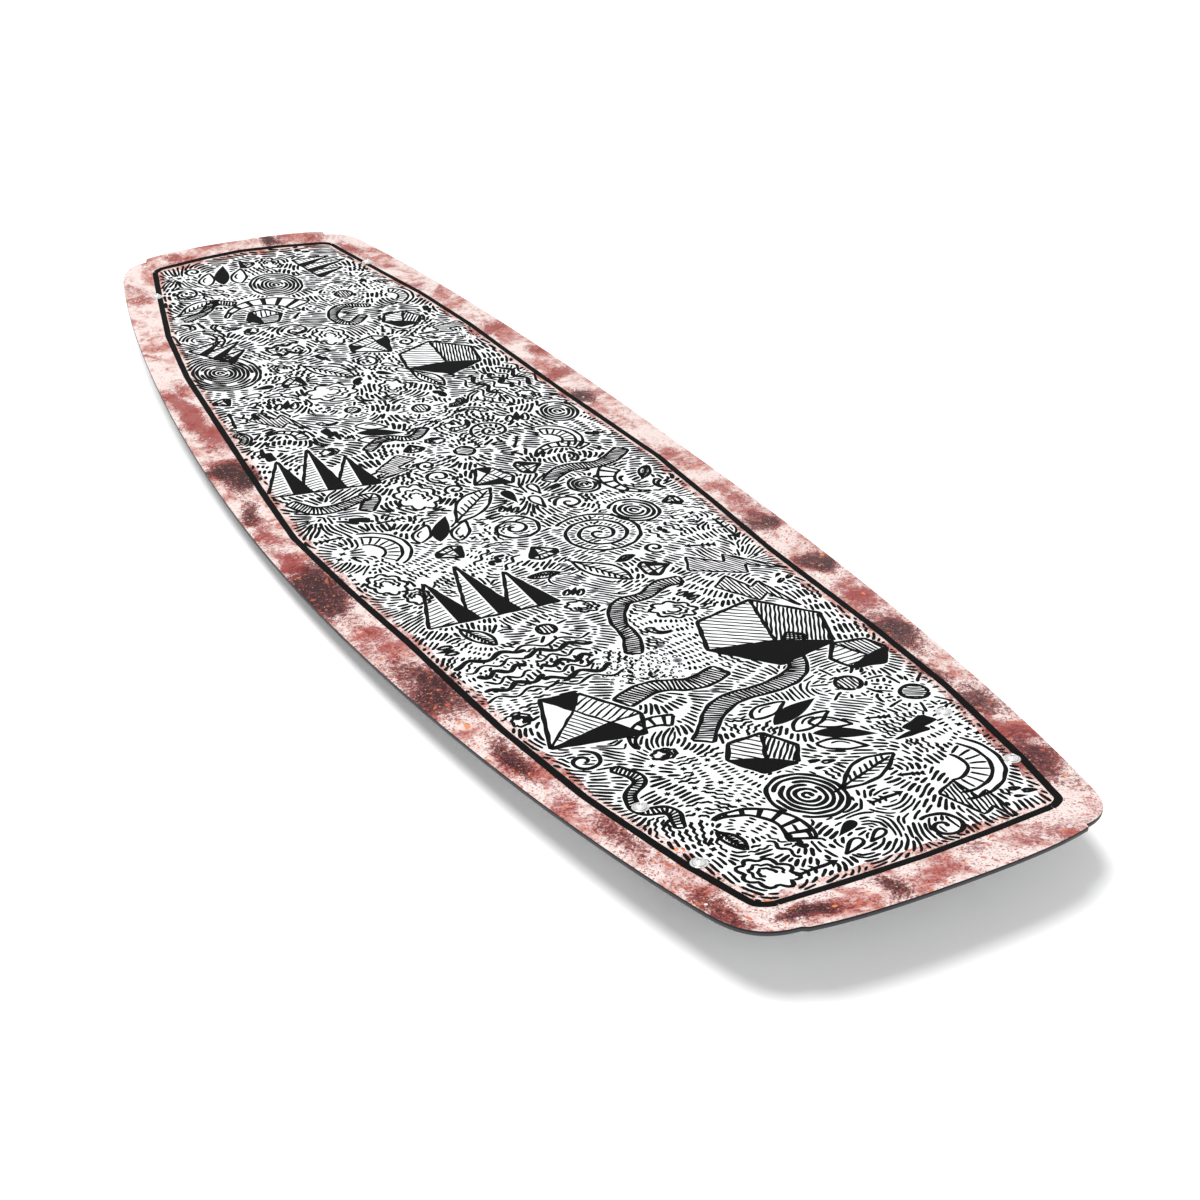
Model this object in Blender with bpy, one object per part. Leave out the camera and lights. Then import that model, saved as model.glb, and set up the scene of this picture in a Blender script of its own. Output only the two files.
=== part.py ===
"""Twin-tip wakeboard, bare: laminated deck, core, rails, tips, binding inserts and four bolted fins.

Row frame: origin at the middle of the base, on the floor. +X runs to the nose tip, +Y to the left
rail, +Z up. Every length is in metres.
"""

import math

import bmesh
import bpy
from mathutils import Matrix, Vector

# Overall sizes
LENGTH = 1.3014            # tip to tip
WIDTH = 0.4007             # widest, at the middle
THICK = 0.0185             # through the middle
TIP_THICK = 0.0090         # through the tips
TIP_RISE = 0.0272          # deck rocker at the tips
TIP_FLICK = 0.0050         # extra rise over the last few centimetres
ROCKER_POWER = 1.67
THIN_POWER = 2.2           # how the board thins towards the tips

# Outline
SIDE_DROP = 0.158          # quadratic sweep of the long side arc, per metre
SIDE_HOOK = 0.25           # eighth-power sweep that pulls the arc in near the tips
SPACER_START = 0.6000      # where the moulded tip begins
WING_X = 0.6375            # end of the corner wing, beside the tongue
WING_Y = 0.1030
TONGUE_Y = 0.1008          # half width of the raised tongue between the wings
TONGUE_BOW = 0.40
TONGUE_HOOK = 45.0
TONGUE_LIFT = 0.0013       # how far the tongue stands above the wings

# Layers, from the deck down
GAP = 0.0003               # glue line between neighbouring pieces
SHEET = 0.0009
LAMINATE = 0.0009
LIP = 0.0020               # upright edge of the rail
BEVEL_RATIO = 1.25         # rail bevel: inboard run for each unit of drop
TIP_BEVEL = 0.0140         # inboard run of the bevel at the tips
RAIL_FLAT = 0.0040         # flat foot of the rail, inboard of its bevel

# Core
CENTRE_HALF = 0.0500       # half width of the middle core strip
STRINGER = 0.0030          # width of each stringer
BLOCK_HALF = 0.0200        # half width of the insert blocks
BLOCK_END = 0.0140         # block length beyond its first and last insert

# Binding inserts
INSERT_FIRST = 0.1467      # first insert from the middle of the board
INSERT_PITCH = 0.0254
INSERT_GROUPS = (("inner", (0, 1, 2, 3)), ("outer", (6, 7, 8, 9)))
INSERT_NECK = 0.0032
INSERT_FLANGE = 0.0060
INSERT_BODY = 0.0044
INSERT_BORE = 0.0025
INSERT_LENGTH = 0.0110
INSERT_FLANGE_THICK = 0.0016
STRIP_END = 0.0070         # flange strip beyond its first and last insert

# Fins and the screws that hold them
FIN_X = 0.5151
FIN_Y = 0.1177
FIN_SCREW_PITCH = 0.0712
FIN_LENGTH = 0.1120
FIN_DEPTH = 0.0200
FIN_FOOT_HALF = 0.0056
FIN_FOOT_DEPTH = 0.0078
FIN_TIP_HALF = 0.0010
SCREW_RADIUS = 0.0025
SCREW_REACH = 0.0062       # how far each screw reaches into its fin
HEAD_RADIUS = 0.0044
HEAD_HEIGHT = 0.0023
WASHER_RADIUS = 0.00575
WASHER_THICK = 0.0007
SLEEVE_RADIUS = 0.0038
NUT_RADIUS = 0.0041
NUT_LENGTH = 0.0064

ROUND = 10                 # sides of small round pieces
HEAD_ROUND = 14            # sides of the screw heads and washers

HALF = LENGTH / 2
END = SPACER_START - GAP


def station_list():
    """Where the surfaces change slope: between every pair of inserts, and closer at the tips."""
    first = INSERT_FIRST - INSERT_PITCH / 2
    right = [first + INSERT_PITCH * k for k in range(-4, 19)]
    right += [SPACER_START, 0.6120, 0.6235, 0.6340, 0.6430, 0.6520]
    return [-x for x in reversed(right)] + right


STATIONS = station_list()


def between(x, values):
    """Straight-line value at x of a quantity known at the stations."""
    for i in range(len(STATIONS) - 1):
        if x <= STATIONS[i + 1]:
            break
    share = (x - STATIONS[i]) / (STATIONS[i + 1] - STATIONS[i])
    return values[i] + share * (values[i + 1] - values[i])


def rocker(x):
    """Height of the deck above its middle, at one station."""
    run = abs(x) / HALF
    flick = max(0.0, (abs(x) - 0.59) / (HALF - 0.59))
    return TIP_RISE * run ** ROCKER_POWER + TIP_FLICK * flick ** 2


def thickness(x):
    """Board thickness at one station."""
    return THICK - (THICK - TIP_THICK) * min(1.0, abs(x) / HALF) ** THIN_POWER


DECK_Z = [THICK + rocker(x) for x in STATIONS]
BASE_Z = [max(0.0, THICK + rocker(x) - thickness(x) - 0.0002) for x in STATIONS]
LIFT_SHARE = [min(1.0, max(0.0, (abs(x) - 0.6040) / 0.0300)) for x in STATIONS]


def lift(x, y):
    """How far the tongue stands above the rest of the deck."""
    beside = (WING_Y - abs(y)) / (WING_Y - TONGUE_Y)
    return TONGUE_LIFT * between(x, LIFT_SHARE) * min(1.0, max(0.0, beside))


def deck(x, y=0.0, down=0.0):
    return between(x, DECK_Z) + lift(x, y) - down


def base(x, up=0.0):
    return between(x, BASE_Z) + up


def half_width(x):
    """Half width of the board on the long side arc."""
    return WIDTH / 2 - SIDE_DROP * x ** 2 - SIDE_HOOK * x ** 8


def bevel(x):
    """Inboard run of the rail bevel."""
    share = min(1.0, max(0.0, (abs(x) - 0.45) / 0.15))
    run = BEVEL_RATIO * (deck(x) - base(x) - SHEET - GAP - LIP)
    return run * (1 - share) + TIP_BEVEL * share


def corner():
    """Points of the corner wing, from the end of the side arc to the tongue."""
    x0 = SPACER_START
    slope = -2 * SIDE_DROP * x0 - 8 * SIDE_HOOK * x0 ** 7
    start = Vector((x0, half_width(x0)))
    end = Vector((WING_X, WING_Y))
    out = start + Vector((1.0, slope)).normalized() * 0.0235
    back = end + Vector((-0.12, 1.0)).normalized() * 0.0205
    points = []
    for i in range(1, 9):
        t = i / 8
        s = 1 - t
        points.append(start * s ** 3 + out * 3 * s * s * t + back * 3 * s * t * t + end * t ** 3)
    return [(p.x, p.y) for p in points]


def tongue():
    """Points of the tongue's bowed edge, from its corner to the middle."""
    points = []
    for y in (TONGUE_Y, 0.0880, 0.0720, 0.0540, 0.0360, 0.0180, 0.0):
        points.append((HALF - TONGUE_BOW * y ** 2 - TONGUE_HOOK * y ** 4, y))
    return points


def tip_ring():
    """Edge of the nose tip, from the left side round to the right side."""
    left = [(SPACER_START, half_width(SPACER_START))] + corner() + tongue()
    right = [(x, -y) for x, y in reversed(left[:-1])]
    return left + right


def outline():
    """Edge of the whole board, counter-clockwise from above."""
    nose = tip_ring()
    side = [x for x in STATIONS if abs(x) < SPACER_START - 0.001]
    upper = [(x, half_width(x)) for x in side]
    loop = [(x, y) for x, y in upper]
    loop += nose
    loop += [(x, -y) for x, y in reversed(upper)]
    loop += [(-x, -y) for x, y in nose]
    return loop[::-1]


def shrink(loop, distance):
    """Move a closed plan outline inwards along its own normals."""
    out = []
    for i, point in enumerate(loop):
        before = Vector(loop[i - 1])
        here = Vector(point)
        after = Vector(loop[(i + 1) % len(loop)])
        edge = (after - before).normalized()
        out.append((here.x - edge.y * distance, here.y + edge.x * distance))
    return out


def foot_point(x, y):
    """Where the bevel that starts at an edge point meets the base."""
    run = bevel(x)
    ahead = min(1.0, max(0.0, (abs(x) - SPACER_START) / 0.025))
    aside = 1.0 if ahead == 0 else min(1.0, max(0.0, (abs(y) - 0.080) / 0.030))
    run *= 1 - 0.25 * ahead * aside
    return (x - math.copysign(run * ahead, x), y - math.copysign(run * aside, y))


def foot_loop(inset):
    return shrink([foot_point(x, y) for x, y in outline()], inset)


def clean(bm):
    bmesh.ops.remove_doubles(bm, verts=bm.verts[:], dist=0.000001)
    bmesh.ops.recalc_face_normals(bm, faces=bm.faces[:])


def material(name, colour, rough, metal):
    mat = bpy.data.materials.new(name)
    mat.use_nodes = True
    shader = mat.node_tree.nodes["Principled BSDF"]
    shader.inputs["Base Color"].default_value = (*colour, 1.0)
    shader.inputs["Roughness"].default_value = rough
    shader.inputs["Metallic"].default_value = metal
    mat.diffuse_color = (*colour, 1.0)
    return mat


def add(bm, name, look, collection):
    """Turn a bmesh into a named object in a collection."""
    mesh = bpy.data.meshes.new(name)
    bm.to_mesh(mesh)
    bm.free()
    obj = bpy.data.objects.new(name, mesh)
    collection.objects.link(obj)
    if look:
        mesh.materials.append(material(name, *look))
    else:
        obj.display_type = "WIRE"
        obj.hide_render = True
    return obj


def slice_at(bm, faces, point, normal):
    edges = list({e for f in faces for e in f.edges})
    verts = list({v for f in faces for v in f.verts})
    geom = verts + edges + faces
    bmesh.ops.bisect_plane(bm, geom=geom, dist=0.0000001, plane_co=point, plane_no=normal)


def flat_plan(loop, tongue_lines):
    """A flat face over a plan outline, divided where the board's surfaces change slope."""
    bm = bmesh.new()
    bm.faces.new([bm.verts.new((x, y, 0.0)) for x, y in loop])
    low = min(x for x, y in loop)
    high = max(x for x, y in loop)
    for x in STATIONS:
        if low + 0.000001 < x < high - 0.000001:
            slice_at(bm, bm.faces[:], (x, 0, 0), (1, 0, 0))
    if tongue_lines:
        for y in (-WING_Y, -TONGUE_Y, TONGUE_Y, WING_Y):
            tip = [f for f in bm.faces if abs(f.calc_center_median().x) > SPACER_START]
            slice_at(bm, tip, (0, y, 0), (0, 1, 0))
    return bm


def layer(name, loop, top, bottom, look, collection, tongue_lines=False):
    """A closed sheet between two surfaces given as height(x, y)."""
    bm = flat_plan(loop, tongue_lines)
    upper = bm.verts[:]
    made = bmesh.ops.extrude_face_region(bm, geom=bm.faces[:])
    lower = [v for v in made["geom"] if isinstance(v, bmesh.types.BMVert)]
    for v in upper:
        v.co.z = top(v.co.x, v.co.y)
    for v in lower:
        v.co.z = bottom(v.co.x, v.co.y)
    clean(bm)
    return add(bm, name, look, collection)


def strip_loop(x0, x1, low, high):
    """Plan outline between two edges given as y(x)."""
    xs = [x0] + [x for x in STATIONS if x0 + 0.0001 < x < x1 - 0.0001] + [x1]
    return [(x, low(x)) for x in xs] + [(x, high(x)) for x in reversed(xs)]


def rail(name, side, look, collection):
    """One long rail: upright lip, bevel to the base and an upright inner wall."""
    xs = [-END] + [x for x in STATIONS if abs(x) < END - 0.001] + [END]
    bm = bmesh.new()
    rings = []
    for x in xs:
        edge = half_width(x)
        foot = edge - bevel(x)
        top = deck(x, down=SHEET + GAP)
        low = base(x, up=SHEET + GAP)
        section = (
            (edge, top),
            (edge, top - LIP),
            (foot, low),
            (foot - RAIL_FLAT, low),
            (foot - RAIL_FLAT, top),
        )
        rings.append([bm.verts.new((x, side * y, z)) for y, z in section])
    for a, b in zip(rings, rings[1:]):
        for i in range(5):
            j = (i + 1) % 5
            bm.faces.new((a[i], a[j], b[j], b[i]))
    bm.faces.new(rings[0])
    bm.faces.new(rings[-1])
    clean(bm)
    return add(bm, name, look, collection)


def spacer(name, end, look, collection):
    """One moulded tip: both corner wings and the tongue, bevelled below."""
    bm = flat_plan(tip_ring(), True)
    rim = [e for e in bm.edges if e.is_boundary]
    for v in bm.verts:
        v.co.z = deck(v.co.x, v.co.y, SHEET + GAP)
    lips = {}
    feet = {}
    for v in {v for e in rim for v in e.verts}:
        x, y, z = v.co
        back = abs(x - SPACER_START) < 0.00001
        fx, fy = foot_point(x, y)
        if back and abs(y) < half_width(SPACER_START) - 0.001:
            fx, fy = x, y
        lips[v] = bm.verts.new((x, y, z - LIP))
        feet[v] = bm.verts.new((fx, fy, base(fx, up=SHEET + GAP)))
    down = {}
    for e in rim:
        a, b = e.verts
        bm.faces.new((a, b, lips[b], lips[a]))
        bm.faces.new((lips[a], lips[b], feet[b], feet[a]))
        down.setdefault(feet[a], []).append(feet[b])
        down.setdefault(feet[b], []).append(feet[a])
    start = next(iter(down))
    loop = [start]
    last = None
    while True:
        here = loop[-1]
        step = [v for v in down[here] if v is not last]
        last = here
        if step[0] is start:
            break
        loop.append(step[0])
    bm.faces.new(loop)
    clean(bm)
    bmesh.ops.triangulate(bm, faces=bm.faces[:])
    if end < 0:
        bmesh.ops.scale(bm, vec=(-1, -1, 1), verts=bm.verts[:])
    return add(bm, name, look, collection)


def seat(x, y, below=0.0):
    """Placement square to the deck facet at x, with its origin the given depth under it."""
    for i in range(len(STATIONS) - 1):
        if x <= STATIONS[i + 1]:
            break
    slope = (DECK_Z[i + 1] - DECK_Z[i]) / (STATIONS[i + 1] - STATIONS[i])
    turn = Matrix.Rotation(-math.atan(slope), 4, "Y")
    return Matrix.Translation((x, y, deck(x))) @ turn @ Matrix.Translation((0, 0, -below))


def spun(profile, steps, places):
    """Round bodies, each spun from a half profile of (radius, height) points."""
    bm = bmesh.new()
    for place in places:
        known = set(bm.verts)
        verts = [bm.verts.new((r, 0, z)) for r, z in profile]
        pairs = list(zip(verts, verts[1:]))
        if profile[0][0] > 0:
            pairs.append((verts[-1], verts[0]))
        edges = [bm.edges.new(pair) for pair in pairs]
        bmesh.ops.spin(
            bm, geom=verts + edges, cent=(0, 0, 0), axis=(0, 0, 1), dvec=(0, 0, 0),
            angle=math.tau, steps=steps, use_merge=True, use_duplicate=False,
        )
        fresh = [v for v in bm.verts if v not in known]
        bmesh.ops.remove_doubles(bm, verts=fresh, dist=0.000001)
        fresh = [v for v in bm.verts if v not in known]
        bmesh.ops.transform(bm, matrix=place, verts=fresh)
    bmesh.ops.recalc_face_normals(bm, faces=bm.faces[:])
    return bm


def turned(prefix, profile, steps, places, look, collection):
    """Identical round pieces that share one mesh, placed by {name: matrix}."""
    shared = None
    for word, place in places.items():
        if shared is None:
            first = add(spun(profile, steps, [Matrix()]), f"{prefix}_{word}", look, collection)
            shared = first.data
            first.matrix_world = place
            continue
        copy = bpy.data.objects.new(f"{prefix}_{word}", shared)
        collection.objects.link(copy)
        copy.matrix_world = place


def drill(name, radius, top, bottom, steps, places, collection):
    """Round cutters from a height above each placement to a depth below it."""
    profile = [(0, bottom), (radius, bottom), (radius, top), (0, top)]
    return add(spun(profile, steps, places), name, None, collection)


def combine(obj, cutter, operation):
    mod = obj.modifiers.new(cutter.name, "BOOLEAN")
    mod.operation = operation
    mod.solver = "EXACT"
    mod.object = cutter


def cut(obj, *cutters):
    for cutter in cutters:
        combine(obj, cutter, "DIFFERENCE")


def fin(name, x, y, look, collection):
    """One fin: an upright foot that houses the nuts, and a tapering blade."""
    share = (0.0, 0.05, 0.12, 0.22, 0.36, 0.50, 0.64, 0.78, 0.88, 0.95, 1.0)
    bm = bmesh.new()
    rings = []
    for s in share:
        at = x + (s - 0.5) * FIN_LENGTH
        rise = math.sin(math.pi * s) ** 0.7
        depth = 0.0035 + (FIN_DEPTH - 0.0035) * rise
        half = 0.0016 + (FIN_FOOT_HALF - 0.0016) * min(1.0, math.sin(math.pi * s) * 2.2)
        neck = min(depth * 0.5, FIN_FOOT_DEPTH)
        top = base(at) - GAP
        section = (
            (half, 0.0),
            (half, -neck),
            (half * 0.42 + 0.0004, -neck - (depth - neck) * 0.25),
            (min(half, FIN_TIP_HALF), -depth),
        )
        points = [(h, z) for h, z in section] + [(-h, z) for h, z in reversed(section)]
        rings.append([bm.verts.new((at, y + h, top + z)) for h, z in points])
    count = len(rings[0])
    for a, b in zip(rings, rings[1:]):
        for i in range(count):
            j = (i + 1) % count
            bm.faces.new((a[i], a[j], b[j], b[i]))
    bm.faces.new(rings[0])
    bm.faces.new(rings[-1])
    clean(bm)
    return add(bm, name, look, collection)


def build():
    for obj in list(bpy.data.objects):
        bpy.data.objects.remove(obj)
    board = bpy.data.collections.new("wakeboard")
    cutters = bpy.data.collections.new("cutters")
    bpy.context.scene.collection.children.link(board)
    bpy.context.scene.collection.children.link(cutters)

    plastic = (0.035, 0.036, 0.038)
    glass = (0.62, 0.66, 0.60)
    foam = (0.83, 0.76, 0.60)
    steel = (0.62, 0.62, 0.61)
    brass = (0.72, 0.55, 0.28)

    # Depths below the deck and heights above the base at which each layer lies
    glass_top = SHEET + GAP
    core_top = glass_top + LAMINATE + GAP
    core_low = core_top

    def inner(x):
        return half_width(x) - bevel(x) - RAIL_FLAT - GAP

    # Skins
    deck_sheet = layer(
        "deck_sheet", shrink(outline(), GAP), deck, lambda x, y: deck(x, y, SHEET),
        ((0.80, 0.66, 0.64), 0.35, 0.0), board, tongue_lines=True,
    )
    top_laminate = layer(
        "top_laminate", strip_loop(-END, END, lambda x: -inner(x), inner),
        lambda x, y: deck(x, y, glass_top), lambda x, y: deck(x, y, glass_top + LAMINATE),
        (glass, 0.4, 0.0), board,
    )
    base_laminate = layer(
        "base_laminate", strip_loop(-END, END, lambda x: -inner(x), inner),
        lambda x, y: base(x, glass_top + LAMINATE), lambda x, y: base(x, glass_top),
        (glass, 0.4, 0.0), board,
    )
    base_sheet = layer(
        "base_sheet", foot_loop(GAP), lambda x, y: base(x, SHEET), lambda x, y: base(x),
        ((0.86, 0.86, 0.85), 0.3, 0.0), board,
    )

    # Core
    def core_deck(x, y):
        return deck(x, y, core_top)

    def core_base(x, y):
        return base(x, core_low)

    def strip(name, low, high, look):
        return layer(name, strip_loop(-END, END, low, high), core_deck, core_base, look, board)

    y1 = CENTRE_HALF
    y2 = y1 + GAP
    y3 = y2 + STRINGER
    y4 = y3 + GAP
    core_middle = strip("core_middle", lambda x: -y1, lambda x: y1, (foam, 0.9, 0.0))
    strip("stringer_left", lambda x: y2, lambda x: y3, ((0.55, 0.38, 0.20), 0.7, 0.0))
    strip("stringer_right", lambda x: -y3, lambda x: -y2, ((0.55, 0.38, 0.20), 0.7, 0.0))
    core_left = strip("core_left", lambda x: y4, inner, (foam, 0.9, 0.0))
    core_right = strip("core_right", lambda x: -inner(x), lambda x: -y4, (foam, 0.9, 0.0))

    # Rails and tips
    rail("rail_left", 1, (plastic, 0.5, 0.0), board)
    rail("rail_right", -1, (plastic, 0.5, 0.0), board)
    spacer("tip_nose", 1, (plastic, 0.5, 0.0), board)
    spacer("tip_tail", -1, (plastic, 0.5, 0.0), board)

    # Insert blocks let into the middle core strip, and the insert strips that lie in them
    groups = {word: [INSERT_FIRST + INSERT_PITCH * k for k in ks] for word, ks in INSERT_GROUPS}
    near = groups["inner"][0] - BLOCK_END
    far = groups["outer"][-1] + BLOCK_END
    slots = bmesh.new()
    for end in (1, -1):
        size = Matrix.Diagonal((far - near + 2 * GAP, 2 * (BLOCK_HALF + GAP), 0.2, 1))
        place = Matrix.Translation((end * (near + far) / 2, 0, 0))
        bmesh.ops.create_cube(slots, size=1.0, matrix=place @ size)
    cut(core_middle, add(slots, "block_slots", None, cutters))
    wood = ((0.72, 0.55, 0.36), 0.7, 0.0)
    flange_low = core_top + INSERT_FLANGE_THICK
    middle = (core_top + flange_low) / 2
    necks = []

    def plate(name, x0, x1, grow, top, bottom, look, collection):
        half = INSERT_FLANGE + grow
        loop = strip_loop(x0 - grow, x1 + grow, lambda x: -half, lambda x: half)
        return layer(
            name, loop, lambda x, y: deck(x, y, top), lambda x, y: deck(x, y, bottom),
            look, collection,
        )

    for end, word in ((1, "nose"), (-1, "tail")):
        x0, x1 = sorted((end * near, end * far))
        block = layer(
            f"insert_block_{word}",
            strip_loop(x0, x1, lambda x: -BLOCK_HALF, lambda x: BLOCK_HALF),
            core_deck, core_base, wood, board,
        )
        for group, xs in groups.items():
            tag = f"{word}_{group}"
            seats = [seat(end * x, 0.0) for x in xs]
            necks += seats
            x0, x1 = sorted((end * (xs[0] - STRIP_END), end * (xs[-1] + STRIP_END)))
            strip_piece = plate(
                f"insert_strip_{tag}", x0, x1, 0.0, core_top, flange_low,
                (steel, 0.35, 1.0), board,
            )
            barrel = [
                (0, -INSERT_LENGTH),
                (INSERT_BODY, -INSERT_LENGTH),
                (INSERT_BODY, -middle),
                (INSERT_NECK, -middle),
                (INSERT_NECK, -0.0001),
                (0, -0.0001),
            ]
            barrels = add(spun(barrel, ROUND, seats), f"barrels_{tag}", None, cutters)
            combine(strip_piece, barrels, "UNION")
            bottom = 0.0010 - INSERT_LENGTH
            cut(strip_piece, drill(f"bores_{tag}", INSERT_BORE, 0.004, bottom, ROUND, seats, cutters))
            recess = plate(
                f"recess_{tag}", x0, x1, GAP, -0.004, flange_low + GAP, None, cutters,
            )
            wells = drill(
                f"wells_{tag}", INSERT_BODY + 2 * GAP, 0.004, -INSERT_LENGTH - GAP, ROUND,
                seats, cutters,
            )
            cut(block, recess, wells)
    neck_holes = drill(
        "neck_holes", INSERT_NECK + GAP, 0.004, -0.0040, ROUND, necks, cutters,
    )
    cut(deck_sheet, neck_holes)
    cut(top_laminate, neck_holes)

    # Fins, and the screws that pass through the board into them
    places = {}
    for end, word in ((1, "nose"), (-1, "tail")):
        for side, hand in ((1, "left"), (-1, "right")):
            for step, row in ((-0.5, "inner"), (0.5, "outer")):
                x = end * (FIN_X + step * FIN_SCREW_PITCH)
                places[f"{word}_{hand}_{row}"] = seat(x, side * FIN_Y)
    seats = list(places.values())
    deep = deck(FIN_X) - base(FIN_X)
    nut_top = deep + 0.0010
    nut_low = nut_top + NUT_LENGTH
    screw_holes = drill("screw_holes", SCREW_RADIUS + GAP, 0.004, -0.004, ROUND, seats, cutters)
    sleeve_holes = drill(
        "sleeve_holes", SLEEVE_RADIUS + 2 * GAP, 0.004, -0.030, 8, seats, cutters,
    )
    nut_holes = drill(
        "nut_holes", NUT_RADIUS + 2 * GAP, -deep + 0.004, -nut_low - GAP, 8, seats, cutters,
    )
    cut(deck_sheet, screw_holes)
    for piece in (top_laminate, core_left, core_right, base_laminate, base_sheet):
        cut(piece, sleeve_holes)
    rubber = ((0.05, 0.05, 0.055), 0.6, 0.0)
    for end, word in ((1, "nose"), (-1, "tail")):
        for side, hand in ((1, "left"), (-1, "right")):
            blade = fin(f"fin_{word}_{hand}", end * FIN_X, side * FIN_Y, rubber, board)
            cut(blade, nut_holes)
    turned(
        "fin_sleeve",
        [
            (SCREW_RADIUS + GAP, -deep + 0.0004),
            (SLEEVE_RADIUS, -deep + 0.0004),
            (SLEEVE_RADIUS, -glass_top),
            (SCREW_RADIUS + GAP, -glass_top),
        ],
        ROUND, places, ((0.70, 0.70, 0.68), 0.4, 0.0), board,
    )
    turned(
        "fin_nut",
        [
            (SCREW_RADIUS + GAP, -nut_low),
            (NUT_RADIUS, -nut_low),
            (NUT_RADIUS, -nut_top),
            (SCREW_RADIUS + GAP, -nut_top),
        ],
        ROUND, places, (brass, 0.35, 1.0), board,
    )
    turned(
        "fin_washer",
        [
            (SCREW_RADIUS + GAP, GAP),
            (WASHER_RADIUS, GAP),
            (WASHER_RADIUS, GAP + WASHER_THICK),
            (SCREW_RADIUS + GAP, GAP + WASHER_THICK),
        ],
        HEAD_ROUND, places, (steel, 0.3, 1.0), board,
    )
    head = 2 * GAP + WASHER_THICK
    turned(
        "fin_screw",
        [
            (0, -deep - SCREW_REACH),
            (SCREW_RADIUS, -deep - SCREW_REACH),
            (SCREW_RADIUS, head),
            (HEAD_RADIUS, head),
            (HEAD_RADIUS, head + 0.35 * HEAD_HEIGHT),
            (0.80 * HEAD_RADIUS, head + 0.75 * HEAD_HEIGHT),
            (0.42 * HEAD_RADIUS, head + 0.97 * HEAD_HEIGHT),
            (0, head + HEAD_HEIGHT),
        ],
        HEAD_ROUND, places, (steel, 0.25, 1.0), board,
    )


build()
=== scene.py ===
import math
import random

import bmesh
import bpy
import numpy as np
from mathutils import Matrix, Vector


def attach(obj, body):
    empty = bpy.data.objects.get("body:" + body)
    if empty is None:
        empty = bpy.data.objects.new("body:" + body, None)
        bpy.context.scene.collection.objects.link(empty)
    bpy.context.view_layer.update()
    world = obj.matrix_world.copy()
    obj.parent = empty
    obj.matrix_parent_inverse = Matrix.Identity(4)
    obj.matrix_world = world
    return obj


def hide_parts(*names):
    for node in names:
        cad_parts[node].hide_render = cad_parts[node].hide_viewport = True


bl_info = {
    "name": "Wakeboard looks",
    "version": (1, 0, 0),
    "blender": (4, 5, 0),
    "location": "3D View > Sidebar > Wakeboard",
    "description": "Prints, fittings and studio for a bare twin-tip wakeboard",
    "category": "Object",
}

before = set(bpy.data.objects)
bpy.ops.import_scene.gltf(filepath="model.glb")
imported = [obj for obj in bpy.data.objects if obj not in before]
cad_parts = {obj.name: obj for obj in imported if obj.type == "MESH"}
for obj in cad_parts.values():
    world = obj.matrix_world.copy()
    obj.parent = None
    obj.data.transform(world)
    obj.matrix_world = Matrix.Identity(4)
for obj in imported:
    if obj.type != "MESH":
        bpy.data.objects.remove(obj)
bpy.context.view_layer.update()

# Board sizes, in metres, as in the solids
HALF = 0.6507
HALF_WIDTH = 0.20018
THICK = 0.0185
TIP_THICK = 0.0090
TIP_RISE = 0.02718
TIP_FLICK = 0.0050
SIDE_DROP = 0.158
SIDE_HOOK = 0.25
TIP_START = 0.6000
WING_X = 0.6375
WING_Y = 0.1030
TONGUE_Y = 0.1008
TONGUE_LIFT = 0.0013
SHEET = 0.0009
GAP = 0.0003
INSERTS = [0.1467 + 0.0254 * k for k in (0, 1, 2, 3, 6, 7, 8, 9)]
FIN_X = 0.5151
FIN_Y = 0.1177
FIN_PITCH = 0.0712

# The drawn band around the panel: (x, half width) from the middle to each tip
BAND_NOSE = (
    (0.0, 0.1705), (0.10, 0.1650), (0.20, 0.1575), (0.35, 0.1510), (0.45, 0.1420),
    (0.55, 0.1250), (0.6035, 0.1120), (0.6085, 0.1030), (0.6115, 0.0500), (0.6130, 0.0),
)
BAND_TAIL = (
    (-0.10, 0.1650), (-0.20, 0.1585), (-0.35, 0.1495), (-0.45, 0.1370), (-0.55, 0.1150),
    (-0.6120, 0.1010), (-0.6175, 0.0930), (-0.6250, 0.0450), (-0.6285, 0.0),
)


# ---------------------------------------------------------------- surfaces


def rocker(x):
    """Height of the deck above its middle."""
    run = abs(x) / HALF
    flick = max(0.0, (abs(x) - 0.59) / (HALF - 0.59))
    return TIP_RISE * run ** 1.67 + TIP_FLICK * flick ** 2


def deck(x, y=0.0):
    """Height of the deck's printed face, with the tongue that stands above each tip's wings."""
    beside = min(1.0, max(0.0, (WING_Y - abs(y)) / (WING_Y - TONGUE_Y)))
    along = min(1.0, max(0.0, (abs(x) - 0.6040) / 0.0300))
    return THICK + rocker(x) + TONGUE_LIFT * along * beside


def base(x):
    thin = (THICK - TIP_THICK) * min(1.0, abs(x) / HALF) ** 2.2
    return max(0.0, rocker(x) + thin - 0.0002)


def half_width(x):
    return HALF_WIDTH - SIDE_DROP * x ** 2 - SIDE_HOOK * x ** 8


def tip_edge(fine):
    """Edge of the nose tip's left half, from the side arc round the wing to the middle."""
    slope = -2 * SIDE_DROP * TIP_START - 8 * SIDE_HOOK * TIP_START ** 7
    start = Vector((TIP_START, half_width(TIP_START)))
    end = Vector((WING_X, WING_Y))
    out = start + Vector((1.0, slope)).normalized() * 0.0235
    back = end + Vector((-0.12, 1.0)).normalized() * 0.0205
    points = []
    for i in range(fine + 1):
        t = i / fine
        s = 1 - t
        points.append(start * s ** 3 + out * 3 * s * s * t + back * 3 * s * t * t + end * t ** 3)
    for i in range(fine + 1):
        y = TONGUE_Y * (1 - i / fine)
        points.append(Vector((HALF - 0.40 * y ** 2 - 45.0 * y ** 4, y)))
    return [(p.x, p.y) for p in points]


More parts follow.
